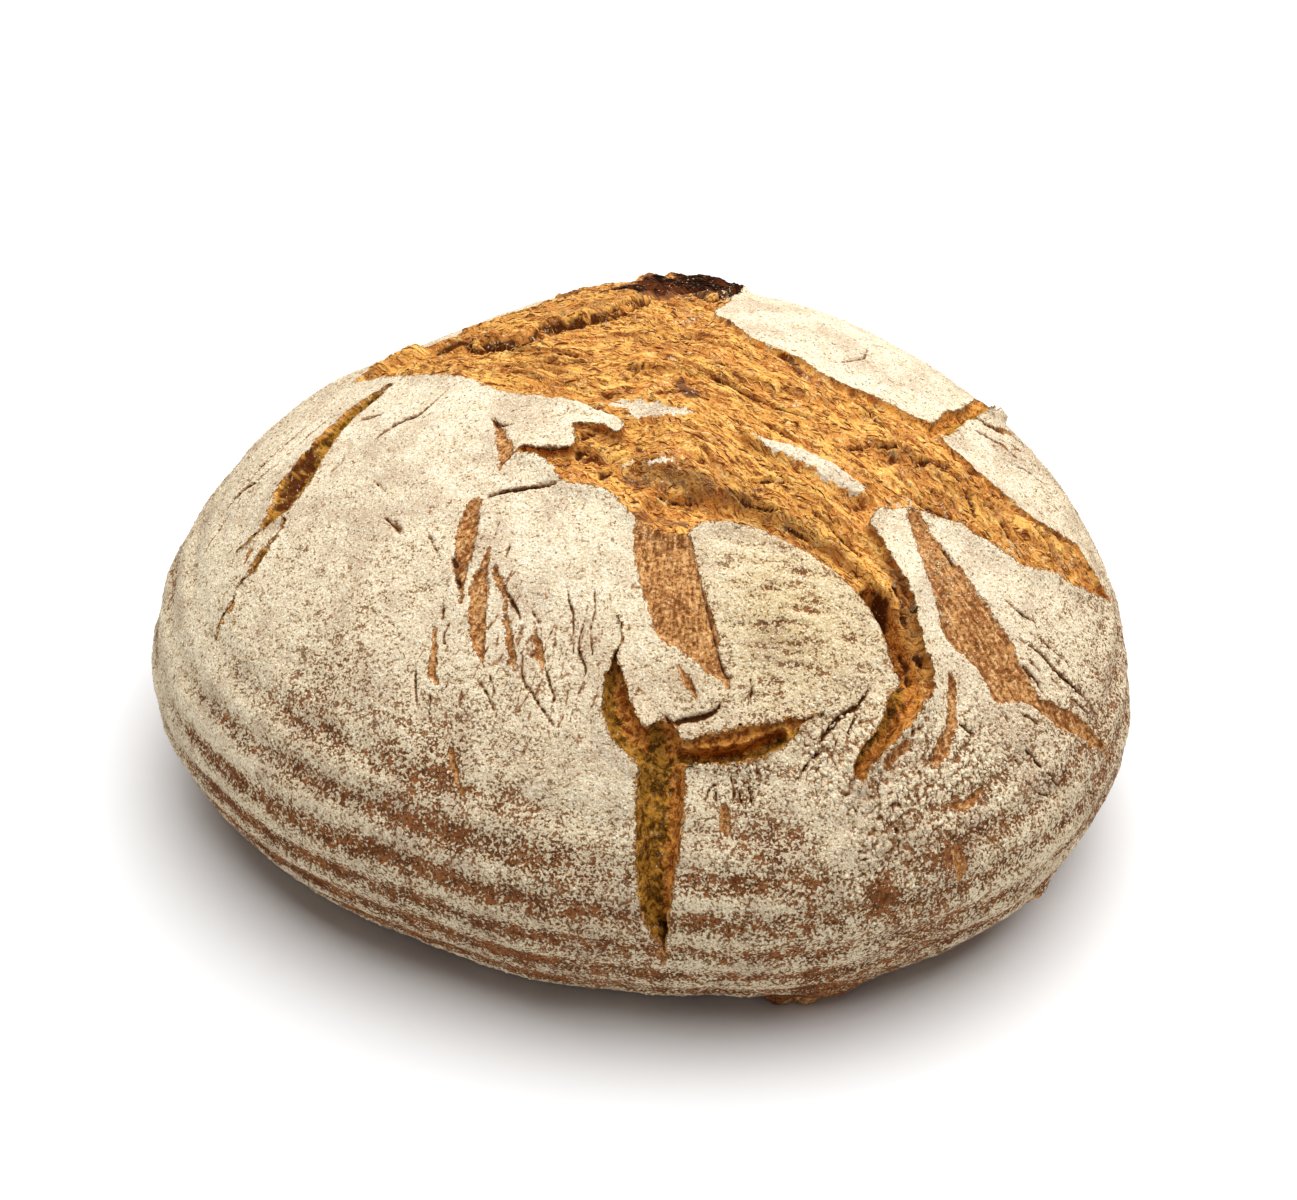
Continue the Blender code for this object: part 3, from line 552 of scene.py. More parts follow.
def area(spots, outline, reach=8.0):
    """Distance in millimetres to a closed outline, up to reach: positive inside it, negative outside."""
    line = smooth_line(outline, closed=True)
    away = np.full(spots.x.shape, reach)
    inside = np.zeros(spots.x.shape, bool)
    for start, end in zip(line, np.roll(line, -1, axis=0)):
        low, high = np.minimum(start, end), np.maximum(start, end)
        here = spots.near(low - reach, high + reach)
        away[here] = np.minimum(away[here], distance_to_span(spots.x[here], spots.y[here], start, end)[0])
        left = spots.near(np.array([-1e3, low[1]]), high)
        x, y = spots.x[left], spots.y[left]
        crosses = (start[1] > y) != (end[1] > y)
        part = (y - start[1]) / (end[1] - start[1] if end[1] != start[1] else 1.0)
        inside[left] ^= crosses & (x < start[0] + part * (end[0] - start[0]))
    return np.where(inside, away, -away)


def deepest(spots, bands, reach=2.5):
    """The greatest depth inside any of several bands, in millimetres."""
    return np.maximum.reduce([band(spots, points, reach)[1] for points in bands])


def tapered(half_width, points):
    """A thin line of points (x, y) as a band that narrows to both ends."""
    share = np.linspace(0.0, np.pi, len(points))
    widths = half_width * (0.4 + 0.6 * np.sin(share)) if len(points) > 2 else np.full(2, half_width)
    return np.column_stack([np.array(points, float), widths])


def spread(x, y, spots):
    """Sum of soft round patches (x, y, radius, strength)."""
    total = 0.0
    for centre_x, centre_y, radius, strength in spots:
        total = total + strength * np.exp(-((x - centre_x) ** 2 + (y - centre_y) ** 2) / radius**2)
    return total


def grains(x, y, *layers):
    """Sum of layers of grain, each given as (height, size, seed)."""
    return sum(height * grain(x, y, size, seed) for height, size, seed in layers)


def openings(spots):
    """Millimetres inside the great tear, and inside it or a split, with ragged edges: negative on the skin."""
    x, y = spots.x, spots.y
    tear = area(spots, GREAT_TEAR, 20.0) + 0.3 * lumps(x, y, 6.0, 4) + 0.55 * grain(x, y, 2.8, 70)
    split = deepest(spots, [points for points, _, _ in SPLITS], 9.0) + 0.7 * grain(x, y, 3.5, 71)
    return tear, np.maximum(tear, split) + 0.45 * grain(x, y, 1.4, 72)


def drawn(x, y):
    """Map points along and across the torn strands, which bend, and tangle in front of the two front plates."""
    steps = np.linspace(-250.0, 250.0, 1001)
    bent = 0.5 * np.cumsum(np.interp(steps, STRAND_X, STRAND_SLOPE))
    along, across = x, y - np.interp(x, steps, bent)
    tangle = sum(
        strength * np.exp(-(((x - middle_x) / half_length) ** 2) - ((y - middle_y) / half_width) ** 2)
        for middle_x, middle_y, half_length, half_width, strength in TANGLES
    )
    across = across + grains(along, across, (5.0, 34.0, 21), (1.6, 9.0, 22))
    across = across + 0.6 * grain(along, across, 3.2, 23) + 2.6 * tangle * grain(x, y, 5.0, 24)
    along = along + 3.0 * tangle * grain(x, y, 5.0, 25)
    return along, across


def strands(x, y):
    """The torn inside: overlapping drawn-out layers whose front edges drop sharply, folded fibres and creases.

    Each set of layers is a saw-tooth of the distance across the strands, and each set of fibres is folded
    noise, long one way and short the other. Gives the height, a share from 0 in the hollows to 1 on the crests
    that sets the painted shade between strands, how much of a crease a point is in, and its place along and
    across the strands.
    """
    along, across = drawn(x, y)
    height = 0.0
    for seed, size, stretch, rise in TORN_LAYERS:
        height = height + rise * (1 - 2 * np.abs(lumps(along / stretch, across, size, seed)))
    for seed, pitch, rise in TORN_EDGES:
        phase = -across / pitch + 0.9 * grain(along, across, 3 * pitch, seed)
        part = phase - np.floor(phase)
        edge = np.minimum(part**1.6, (1 - part) * 6)
        strength = ease(0.4 + 1.5 * grain(along / 2.2, 3.7 * np.floor(phase) * pitch, 7.0, seed + 9))
        height = height + rise * strength * (edge - 0.35)
    fine = 0.0
    for seed, size, stretch, rise in TORN_FIBRES:
        fine = fine + rise * (0.34 - np.abs(grain(along / stretch, across, size, seed))) * 2
    crease = ease(1 - np.abs(grain(along / 5, across, 6.5, 39)) / 0.075)
    crease = crease * ease(0.5 + 1.8 * grain(along / 3, across / 2, 5.0, 40))
    height = height + fine - 0.8 * crease + 0.16 * grain(x, y, 0.9, 38)
    return height, np.clip(0.56 + 0.75 * fine - 0.3 * crease, 0.0, 1.0), crease, along, across


def crumb(x, y):
    """The open crumb in a split: pits and thin walls, from folded noise of three sizes."""
    pits = np.abs(grain(x, y, 5.0, 44)) + np.abs(grain(x, y, 2.6, 41)) + 0.6 * np.abs(grain(x, y, 1.5, 42))
    return 1.2 * (pits - 0.75) + grains(x, y, (0.8, 7.5, 45), (0.3, 0.9, 43))


def skin(x, y):
    """The unbroken skin: low lumps, swollen plates, the basket's rings, and the grain of dried dough."""
    height = 0.9 * lumps(x, y, 42.0, 1) + 0.35 * lumps(x, y, 15.0, 2) + spread(x, y, SWELLS)
    along = np.hypot(x, y)
    amount, size = RING_WANDER
    wave = np.cos(2 * np.pi * (along - FIRST_RING + amount * lumps(x, y, size, 3)) / RING_PITCH)
    rings = wave * ease((along - FIRST_RING) / RING_FADE) * (0.8 + 0.5 * lumps(x, y, 24.0, 8))
    height += RING_HEIGHT * rings
    height += grains(x, y, (0.22, 5.5, 51), (0.13, 2.2, 52), (0.1, 1.2, 53))
    return height, rings


def dried(x, y):
    """Cracks of the dried skin on the flanks: millimetres inside one, and how far from one in the chunks."""
    across, along = MEAN_RADIUS * np.arctan2(x, -y), np.hypot(x, y)
    chunk, reed = spread(x, y, CHUNKED), spread(x, y, REEDED)
    near_reed = 2.2 * np.abs(grain(across, along / 5.0, 3.6, 64) + 0.12 * grain(x, y, 1.6, 66))
    across = across + grains(x, y, (1.7, 3.6, 61), (0.5, 1.5, 89))
    along = along + 1.7 * grain(x, y, 3.6, 62)
    near_chunk = border(across, along / 1.4, 2.1, 63)
    patchy = grains(x, y, (1.1, 3.2, 65), (0.5, 9.0, 68))
    cracked = np.maximum(
        0.28 * np.clip(1.1 * chunk + patchy - 0.72, -1, 0.8) - near_chunk,
        0.26 * np.clip(1.0 * reed + patchy - 0.7, -1, 0.8) - near_reed,
    )
    return cracked, near_chunk, np.clip(chunk, 0.0, 1.0)


def uphill(field, x, y):
    """The direction in which a field on the grid rises on the map, as a unit vector."""
    field_i, field_j = np.gradient(field)
    (x_i, x_j), (y_i, y_j) = np.gradient(x), np.gradient(y)
    scale = x_i * y_j - x_j * y_i
    rise_x = (field_i * y_j - field_j * y_i) / scale
    rise_y = (field_j * x_i - field_i * x_j) / scale
    length = np.maximum(np.hypot(rise_x, rise_y), 1e-9)
    return rise_x / length, rise_y / length


def dark_places(spots, crease, layer):
    """How far the creases and holes of the torn inside drop, and how much painted shade darkens them and the foot
    of the upper layer, ragged and mottled.
    """
    x, y = spots.x, spots.y
    fall, shade = np.zeros(x.shape), np.zeros(x.shape)
    uneven = grain(x, y, 2.2, 77)
    mottled = np.clip(0.96 + 0.75 * grain(x, y, 1.5, 90), 0.0, 1.0)
    for half_width, points in CREVICES:
        ragged = 0.5 if half_width > 1.1 else 0.3
        share = ease((band(spots, tapered(half_width, points), 2.0)[0] + ragged * uneven) * 1.6)
        fall += (1.2 + 0.5 * half_width) * share
        shade = np.maximum(shade, share * mottled)
    shade = np.maximum(shade, 0.36 * crease)
    # Painted shade along the foot of the upper layer, under its overhanging edge
    foot_of_layer = ease(1.3 - np.abs(layer + 0.3) / 0.9) * (layer > -3.9)
    return fall, np.maximum(shade, 0.92 * foot_of_layer)


def split_floors(spots, depth):
    """How far the splits drop, which side of one a point is on, which sets the crumb's painted light and shade,
    and the lip that is raised beside it.
    """
    x, y = spots.x, spots.y
    deep, side, lip = np.zeros(x.shape), np.zeros(x.shape), np.zeros(x.shape)
    for points, fall, golden in SPLITS:
        share, _, left = band(spots, points)
        lip += LIP_RISE * ease(1 + share) * (1 - ease(share * 3.0))
        here = fall * ease(share * 1.6 + 0.1 + 0.1 * lumps(x, y, 5.0, 7)) * (depth > 0)
        side = np.where(here > deep, left + golden, side)
        deep = np.maximum(deep, here)
    return deep, side + 0.3 * grain(x, y, 2.5, 83), lip


def scorched(spots):
    """How dark the scorched patches are, with uneven edges."""
    scorch = np.zeros(spots.x.shape)
    for points, strength in SCORCHED:
        share = band(spots, points, 1.0)[0]
        edge = ease(share * 1.3 + 0.55 * grain(spots.x, spots.y, 4.0, 78)) * (share > -0.6)
        scorch = np.maximum(scorch, strength * edge)
    return scorch


def flour_amount(x, y, rings, chunk, near_chunk):
    """Flour on the skin: thick over the crown, in the basket's rings on the flanks, thin between the chunks,
    and streaked on the toasted plate. Gives the streaks too."""
    arc = np.hypot(x, y)
    flour = np.interp(arc, FLOUR_ARC, FLOUR_AT_ARC) + 0.1 * lumps(x, y, 26.0, 81)
    ringed = (0.1 + 0.15 * ease((arc - 135) / 30)) * rings * (1 + 0.6 * lumps(x, y, 30.0, 86))
    flour = flour + ringed * (1 - 0.5 * ease((x - 30) / 60)) + spread(x, y, SKIN_FLOUR)
    plate = spread(x, y, [TOASTED_PLATE])
    slant = y - 0.2 * x
    streaks = plate * (grain(x / 5.0, slant, 2.0, 82) + 0.6 * grain(x / 4.0, slant, 1.1, 88))
    flour = flour - 0.19 * plate + 0.45 * streaks
    return flour + 0.3 * chunk * (ease(near_chunk / 0.7) - 0.5), streaks


def crust_fields(spots, tear, depth):
    """Relief in millimetres, what the material reads, and how deep the tear drops, for map points."""
    x, y = spots.x, spots.y
    arc = np.hypot(x, y)
    skin_height, rings = skin(x, y)
    in_tear = ease(tear / 0.9)
    on_skin = 1 - in_tear
    opened = ease(depth / 0.8)
    drop = TEAR_DROP + TEAR_DROP_IN_FRONT * ease((-y - 15) / 25)
    low = skin_height + 0.45 * drop * ease(1 + depth / 4.5) * (1 - opened) * ease(1 + tear / 5.0)
    low -= drop * in_tear
    low += (drop - 0.5) * ease((tear - 3.0) / 14.0)
    layer = area(spots, UPPER_LAYER, 4.0) + 2.0 * lumps(x, y, 7.0, 5) + 0.7 * grain(x, y, 2.4, 73)
    low += LAYER_RISE * ease(layer / 0.8) * in_tear
    island = np.maximum.reduce([area(spots, outline, 4.0) for outline in SKIN_ISLANDS])
    island = np.maximum(island, deepest(spots, SKIN_STRIPS)) + grains(x, y, (0.8, 2.2, 75), (0.5, 1.1, 87))
    torn, strand, crease, along, across = strands(x, y)
    low += TORN_HEIGHT * torn * ease(tear / 1.8) * (1 - 0.8 * ease(island / 1.0))
    wall = opened * (1 - ease((depth - 2.0) / 4.0))
    low += grains(x, y, (0.6, 3.0, 84), (0.3, 1.3, 85)) * wall
    low += ISLAND_RISE * ease(island / 0.6) * in_tear

    bare = np.maximum(deepest(spots, SCARS), np.maximum.reduce([area(spots, outline) for outline in BARE_AREAS]))
    bare = bare + grains(x, y, (0.5, 2.6, 74), (0.3, 1.2, 79))
    low -= BARE_DROP * ease(bare / 0.8) * on_skin
    lean = np.where(x > 40, 0.9, 1.35)
    run, aside = x * np.cos(lean) - y * np.sin(lean), x * np.sin(lean) + y * np.cos(lean)
    rough = 0.3 * grain(x, y, 1.7, 76) + 0.4 * grain(run / 5.0, aside, 1.7, 69)
    low += rough * ease(bare / 1.2) * on_skin

    for points, fall in HOLLOWS:
        low -= fall * ease(band(spots, points, 1.0)[0] * 1.4)
    for points, rise in CRESTS:
        low += rise * ease(band(spots, points, 1.0)[0] * 1.5) * (1 + 0.25 * lumps(x, y, 6.0, 6))
    fall, shade = dark_places(spots, np.clip(crease, 0.0, 1.0) * in_tear, layer)
    low -= fall * in_tear
    crack = np.full(x.shape, -2.0)
    for half_width, points in CRACKS:
        crack = np.maximum(crack, band(spots, tapered(0.85 * half_width, points), 2.0)[1])
    crack = crack + 0.25 * grain(x, y, 1.6, 67)
    low -= CRACK_DROP * ease((crack + 0.15) / 0.6) * on_skin
    deep, side, lip = split_floors(spots, depth)
    low += lip * on_skin - deep + crumb(x, y) * ease(deep / 3.5)

    cracked, near_chunk, chunk = dried(x, y)
    floured = (depth < -0.4) & (bare < 0.2)
    cracked = np.where(floured, cracked, -2.0)
    low -= DRIED_DROP * ease((cracked + 0.1) / 0.4)
    low += CHUNK_RISE * chunk * ease(near_chunk / 0.55) * floured
    flour, streaks = flour_amount(x, y, rings, chunk, near_chunk)
    low += 0.35 * streaks * (1 - opened)
    round_x, round_y = (MEAN_RADIUS * place / np.maximum(arc, 1) for place in (x, y))
    marks = {
        "opened": depth, "bare": bare, "island": island, "crack": np.maximum(crack, cracked), "deep": deep,
        "side": side, "shade": shade, "strand": strand, "scorch": scorched(spots), "flour": flour,
        "toast": np.clip(spread(x, y, [TOASTED_PLATE, TOASTED_LOW]), 0.0, 1.0),
        "dust": spread(x, y, TORN_DUST) - 0.12,
        "fibre": np.stack([0.3 * along, across, 0.0 * along], axis=-1) * MM,
        "flank": np.stack([round_x, round_y, arc], axis=-1) * MM,
    }
    return np.maximum(low, -DEEPEST) * ease((CRUST_LENGTH - arc) / RIM_FADE), marks, drop


def crust_points(x, y, height):
    """The smooth dome plus its relief along the normal, in millimetres."""
    points = smooth_dome(x, y)
    slope_x = smooth_dome(x + SLOPE_REACH, y) - smooth_dome(x - SLOPE_REACH, y)
    slope_y = smooth_dome(x, y + SLOPE_REACH) - smooth_dome(x, y - SLOPE_REACH)
    normal = np.cross(slope_x, slope_y)
    normal /= np.linalg.norm(normal, axis=-1, keepdims=True)
    return points + normal * height[..., None], normal


def surface_at(x, y):
    """Points and normals of the finished crust anywhere on the map, and what the material reads there."""
    spots = MapPoints(x, y)
    tear, depth = openings(spots)
    height, marks, _ = crust_fields(spots, tear, depth)
    points, normal = crust_points(x, y, height.reshape(x.shape))
    return points, normal, {mark: field.reshape(*x.shape, *field.shape[1:]) for mark, field in marks.items()}


def disc_grid(cells, radius):
    """A square grid of map points drawn out to a disc: each square ring of the grid becomes a circle."""
    side = np.linspace(-1.0, 1.0, cells + 1)
    across, up = np.meshgrid(side, side, indexing="ij")
    wide = np.abs(across) > np.abs(up)
    ring = np.where(wide, across, up)
    rest = np.where(wide, up, across)
    turn = np.pi / 4 * rest / np.where(ring == 0, 1.0, ring)
    turn = np.where(wide, turn, np.pi / 2 - turn)
    return radius * ring * np.cos(turn), radius * ring * np.sin(turn)


def grid_triangles(cells):
    """Triangles of the square grid, and the cell that each lies in, counted from the middle of the grid."""
    number = np.arange((cells + 1) ** 2).reshape(cells + 1, cells + 1)
    a, b, c, d = number[:-1, :-1], number[1:, :-1], number[1:, 1:], number[:-1, 1:]
    step = np.arange(cells) - cells / 2
    u, v = np.meshgrid(step, step, indexing="ij")
    rising = (u + 0.5) * (v + 0.5) > 0
    first = np.where(rising[..., None], np.stack([a, b, c], -1), np.stack([a, b, d], -1))
    second = np.where(rising[..., None], np.stack([a, c, d], -1), np.stack([b, c, d], -1))
    third = 1 / 3
    first_u, first_v = np.where(rising, u + 2 * third, u + third), v + third
    second_u, second_v = np.where(rising, u + third, u + 2 * third), v + 2 * third
    triangles = np.concatenate([first.reshape(-1, 3), second.reshape(-1, 3)])
    middle_u = np.concatenate([first_u.ravel(), second_u.ravel()])
    middle_v = np.concatenate([first_v.ravel(), second_v.ravel()])
    return triangles, middle_u, middle_v


def closing_skirt(triangles, count):
    """Triangles that close a piece inside the loaf: from every open edge to a sunken copy of it, whose vertices
    are numbered from count on, and from there to one last vertex; and the vertices that the copy is made of."""
    edges = np.concatenate([triangles[:, [0, 1]], triangles[:, [1, 2]], triangles[:, [2, 0]]]).astype(np.int64)
    ahead = edges[:, 0] * count + edges[:, 1]
    back = edges[:, 1] * count + edges[:, 0]
    rim = edges[~np.isin(ahead, back)]
    copied, number = np.unique(rim, return_inverse=True)
    start, end = rim.T
    low_start, low_end = number.reshape(-1, 2).T + count
    last = np.full(len(rim), count + len(copied))
    skirt = [(end, start, low_start), (end, low_start, low_end), (low_end, low_start, last)]
    return np.concatenate([np.stack(corners, axis=-1) for corners in skirt]), copied


def make_piece(name, points, triangles, material, marks=None):
    """A smooth-shaded mesh of triangles, in millimetres, that rides on the loaf, with a value per vertex for
    each mark."""
    mesh = bpy.data.meshes.new(name)
    mesh.vertices.add(len(points))
    mesh.vertices.foreach_set("co", (points * MM).astype(np.float32).ravel())
    mesh.loops.add(3 * len(triangles))
    mesh.loops.foreach_set("vertex_index", triangles.astype(np.int32).ravel())
    mesh.polygons.add(len(triangles))
    mesh.polygons.foreach_set("loop_start", np.arange(0, 3 * len(triangles), 3, dtype=np.int32))
    mesh.update(calc_edges=True)
    mesh.shade_smooth()
    for mark, values in (marks or {}).items():
        values = np.asarray(values, np.float32)
        kind, key = ("FLOAT", "value") if values.ndim == 1 else ("FLOAT_VECTOR", "vector")
        mesh.attributes.new(mark, kind, "POINT").data.foreach_set(key, values.ravel())
    mesh.materials.append(material)
    piece = bpy.data.objects.new(name, mesh)
    bpy.context.scene.collection.objects.link(piece)
    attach(piece, "root")
    return piece


def make_crust(material):
    """The whole crust in eight closed pieces: four wedges, each with an inner part over the crown and an outer
    part down to the floor, all closed to the middle of the underside."""
    x, y = disc_grid(GRID_CELLS, CRUST_LENGTH)
    rim = np.hypot(x, y) > CRUST_LENGTH - 1e-6
    tear, depth = (field.reshape(x.shape) for field in openings(MapPoints(x, y)))
    lean_x, lean_y = uphill(depth, x, y)
    snap = np.where((np.abs(depth) < SNAP) & ~rim, depth, 0.0)
    x, y, tear, depth = x - snap * lean_x, y - snap * lean_y, tear - snap, depth - snap
    height, marks, drop = crust_fields(MapPoints(x, y), tear.ravel(), depth.ravel())
    over = ease(1 + depth / 3.0) * (depth < SNAP / 2) - 0.4 * ease(1 - depth / 1.8) * (depth >= SNAP / 2)
    push = OVERHANG * drop.reshape(x.shape) * over * (np.abs(depth) < 3)
    height = height.reshape(x.shape)
    points, outward = crust_points(x + push * lean_x, y + push * lean_y, height)
    inward = ease((CRUST_LENGTH - np.hypot(x, y)) / 60.0)
    sunken = points - outward * ((height + SKIRT_DEPTH) * inward)[..., None]
    sunken = sunken * (0.88 + 0.12 * inward)[..., None]
    points[..., 2] = np.where(rim, 0.0, np.maximum(points[..., 2], CLEAR_OF_FLOOR))
    normals = np.cross(np.gradient(points, axis=0), np.gradient(points, axis=1))
    normals /= np.linalg.norm(normals, axis=-1, keepdims=True)
    triangles, u, v = grid_triangles(GRID_CELLS)
    wide = np.abs(u) > np.abs(v)
    inner = np.maximum(np.abs(u), np.abs(v)) < INNER_SHARE * GRID_CELLS / 2
    quarters = {
        "front": ~wide & (v < 0), "back": ~wide & (v > 0), "left": wide & (u < 0), "right": wide & (u > 0),
    }
    flat_points, flat_normals, sunken = points.reshape(-1, 3), normals.reshape(-1, 3), sunken.reshape(-1, 3)
    for side, in_quarter in quarters.items():
        for part, in_part in (("crown", inner), ("flank", ~inner)):
            used, faces = np.unique(triangles[in_quarter & in_part], return_inverse=True)
            faces = faces.reshape(-1, 3)
            skirt, copied = closing_skirt(faces, len(used))
            faces = np.concatenate([faces, skirt])
            corners = np.concatenate([flat_points[used], sunken[used[copied]], [[0.0, 0.0, 0.0]]])
            inner_side = np.append(used[copied], used[0])
            values = {mark: np.concatenate([field[used], field[inner_side]]) for mark, field in marks.items()}
            piece = make_piece(f"{part}_{side}", corners, faces, material, values)
            shading = np.concatenate([flat_normals[used], np.tile([0.0, 0.0, -1.0], (len(inner_side), 1))])
            piece.data.normals_split_custom_set_from_vertices(shading.tolist())
            if (side, part) == ("front", "crown"):
                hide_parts("loaf")
    return x, y, marks


def make_shreds(x, y, marks, material):
    """Shreds of torn crust that lie along the strands: curved spindles with both tips sunk into the surface."""
    rng = np.random.default_rng(91)
    torn = (marks["opened"] > 1.4) & (marks["island"] < -0.6) & (marks["deep"] < 1.0)
    chosen = rng.choice(np.flatnonzero(torn & (np.hypot(x, y).ravel() < 160)), SHREDS, replace=False)
    centre_x, centre_y = x.ravel()[chosen], y.ravel()[chosen]
    length = rng.uniform(1.5, 4.2, SHREDS) * rng.uniform(0.6, 1.5, SHREDS)
    half_width = 0.1 + 0.03 * length * rng.uniform(0.5, 1.5, SHREDS)
    angle = np.arctan(np.interp(centre_x, STRAND_X, STRAND_SLOPE)) + rng.normal(0.0, 0.35, SHREDS)
    angle = angle + 0.7 * grain(centre_x, centre_y, 20.0, 92)
    bend = 0.22 * length * rng.normal(0.0, 1.0, SHREDS)
    share = np.linspace(-1.0, 1.0, SHRED_RINGS + 2)[None, :]
    run, aside = 0.5 * length[:, None] * share, bend[:, None] * (1 - share**2)
    spine_x = centre_x[:, None] + run * np.cos(angle)[:, None] - aside * np.sin(angle)[:, None]
    spine_y = centre_y[:, None] + run * np.sin(angle)[:, None] + aside * np.cos(angle)[:, None]
    points, normal, _ = surface_at(spine_x, spine_y)
    points = (np.roll(points, 1, axis=1) + points + np.roll(points, -1, axis=1))[:, 1:-1] / 3
    normal, share = normal[:, 1:-1], share[:, 1:-1]
    points = points + normal * (half_width[:, None] * (0.9 - 2.4 * share**2))[..., None]
    tangent = np.gradient(points, axis=1)
    tangent /= np.linalg.norm(tangent, axis=-1, keepdims=True)
    aside = np.cross(normal, tangent)
    around = np.pi / 4 + 2 * np.pi / SHRED_CORNERS * np.arange(SHRED_CORNERS)
    width = (half_width[:, None] * np.sqrt(1 - (0.8 * share) ** 2))[..., None, None]
    ring = np.cos(around)[:, None] * aside[:, :, None, :] + 0.75 * np.sin(around)[:, None] * normal[:, :, None, :]
    rings = points[:, :, None, :] + width * ring
    tips = points[:, [0, -1]] + (points[:, [0, -1]] - points[:, [1, -2]]) * 0.5 - 0.5 * normal[:, [0, -1]]
    corners = np.concatenate([tips, rings.reshape(SHREDS, -1, 3)], axis=1)

    turn = 2 + np.arange(SHRED_CORNERS)
    after = 2 + (np.arange(SHRED_CORNERS) + 1) % SHRED_CORNERS
    last = SHRED_CORNERS * (SHRED_RINGS - 1)
    first_tip, last_tip = np.zeros(SHRED_CORNERS, int), np.ones(SHRED_CORNERS, int)
    faces = [(first_tip, after, turn), (last_tip, last + turn, last + after)]
    for low in range(0, last, SHRED_CORNERS):
        high = low + SHRED_CORNERS
        faces += [(low + turn, low + after, high + after), (low + turn, high + after, high + turn)]
    faces = np.concatenate([np.stack(face, axis=-1) for face in faces])
    each = corners.shape[1]
    faces = faces[None] + each * np.arange(SHREDS)[:, None, None]
    tone = np.repeat(rng.uniform(0.0, 1.0, SHREDS), each)
    make_piece("torn_shreds", corners.reshape(-1, 3), faces.reshape(-1, 3), material,
               {"tone": tone, "scorch": np.repeat(marks["scorch"][chosen], each)})


def make_clumps(x, y, marks, material):
    """Clumps of flour on the skin: squashed and dented balls of twenty faces, half sunk."""
    rng = np.random.default_rng(93)
    arc = np.hypot(x, y).ravel()
    skin_left = (marks["opened"] < -0.8) & (marks["bare"] < -0.5) & (arc < 208)
    chunk = np.clip(spread(x.ravel(), y.ravel(), CHUNKED), 0.0, 1.0)
    weight = skin_left * (0.06 + ease((marks["flour"] - 0.3) / 0.4)) * (0.3 + 0.7 * (arc > 115) + 2.0 * chunk)
    chosen = rng.choice(weight.size, CLUMPS, replace=False, p=weight / weight.sum())
    points, normal, _ = surface_at(x.ravel()[chosen], y.ravel()[chosen])
    golden = (1 + 5**0.5) / 2
    ball = np.array([
        (-1, golden, 0), (1, golden, 0), (-1, -golden, 0), (1, -golden, 0), (0, -1, golden), (0, 1, golden),
        (0, -1, -golden), (0, 1, -golden), (golden, 0, -1), (golden, 0, 1), (-golden, 0, -1), (-golden, 0, 1),
    ]) / np.hypot(1, golden)
    faces = np.array([
        (0, 11, 5), (0, 5, 1), (0, 1, 7), (0, 7, 10), (0, 10, 11), (1, 5, 9), (5, 11, 4), (11, 10, 2), (10, 7, 6),
        (7, 1, 8), (3, 9, 4), (3, 4, 2), (3, 2, 6), (3, 6, 8), (3, 8, 9), (4, 9, 5), (2, 4, 11), (6, 2, 10),
        (8, 6, 7), (9, 8, 1),
    ])
    each = len(ball)
    turn = rng.uniform(0.0, 2 * np.pi, CLUMPS)
    right = np.cross(normal, [0.0, 1.0, 0.3])
    right /= np.linalg.norm(right, axis=-1, keepdims=True)
    up = np.cross(normal, right)
    first = right * np.cos(turn)[:, None] + up * np.sin(turn)[:, None]
    second = np.cross(normal, first)
    size = rng.uniform(0.2, 0.46, (CLUMPS, 1)) * rng.uniform(0.8, 1.3, (CLUMPS, 1))
    size = size * (1 + 0.5 * chunk[chosen, None])
    axes = np.stack([first * size * 1.25, second * size * 0.85, normal * size * 0.6], axis=1)
    corners = (ball[None] * rng.uniform(0.75, 1.2, (CLUMPS, each, 1))) @ axes + points[:, None, :]
    faces = faces[None] + each * np.arange(CLUMPS)[:, None, None]
    make_piece("flour_clumps", corners.reshape(-1, 3), faces.reshape(-1, 3), material,
               {"tone": np.repeat(rng.uniform(0.0, 1.0, CLUMPS), each)})


def tint(name):
    """A named colour, made linear for a shader socket."""
    value = np.array(COLOURS[name]) / 255
    linear = np.where(value <= 0.04045, value / 12.92, ((value + 0.055) / 1.055) ** 2.4)
    return (*linear.tolist(), 1.0)


def put(tree, kind, values=None, **settings):
    """A new node with its settings; values are numbers for its inputs or sockets to link to them."""
    made = tree.nodes.new(kind)
    for key, value in settings.items():
        setattr(made, key, value)
    for key, value in (values or {}).items():
        if isinstance(value, bpy.types.NodeSocket):
            tree.links.new(value, made.inputs[key])
        else:
            made.inputs[key].default_value = value
    return made


def weighed(tree, *parts, start=0.0):
    """Start plus the sum of each value times its weight."""
    total = start
    for value, weight in parts:
        total = put(tree, "ShaderNodeMath", {0: value, 1: weight, 2: total}, operation="MULTIPLY_ADD").outputs[0]
    return total


def step(tree, value, low, high, out_low=0.0, out_high=1.0):
    """A smooth step of value from low to high."""
    inputs = {"Value": value, "From Min": low, "From Max": high, "To Min": out_low, "To Max": out_high}
    return put(tree, "ShaderNodeMapRange", inputs, interpolation_type="SMOOTHSTEP").outputs[0]


def blend(tree, share, a, b, way="MIX"):
    """Colour a where share is 0, and b where it is 1."""
    return put(tree, "ShaderNodeMix", {0: share, 6: a, 7: b}, data_type="RGBA", blend_type=way).outputs[2]


def wash(tree, colour, value, low, high, most, name):
    """A named colour over another, from none where value is low to the share most where it is high."""
    return blend(tree, step(tree, value, low, high, 0.0, most), colour, tint(name))


def noise(tree, place, size, detail=2.0, roughness=0.5, distortion=0.0):
    """Noise from 0 to 1 with features of about this size in metres."""
    inputs = {"Vector": place, "Scale": 1 / size, "Detail": detail}
    inputs.update({"Roughness": roughness, "Distortion": distortion})
    return put(tree, "ShaderNodeTexNoise", inputs).outputs["Fac"]


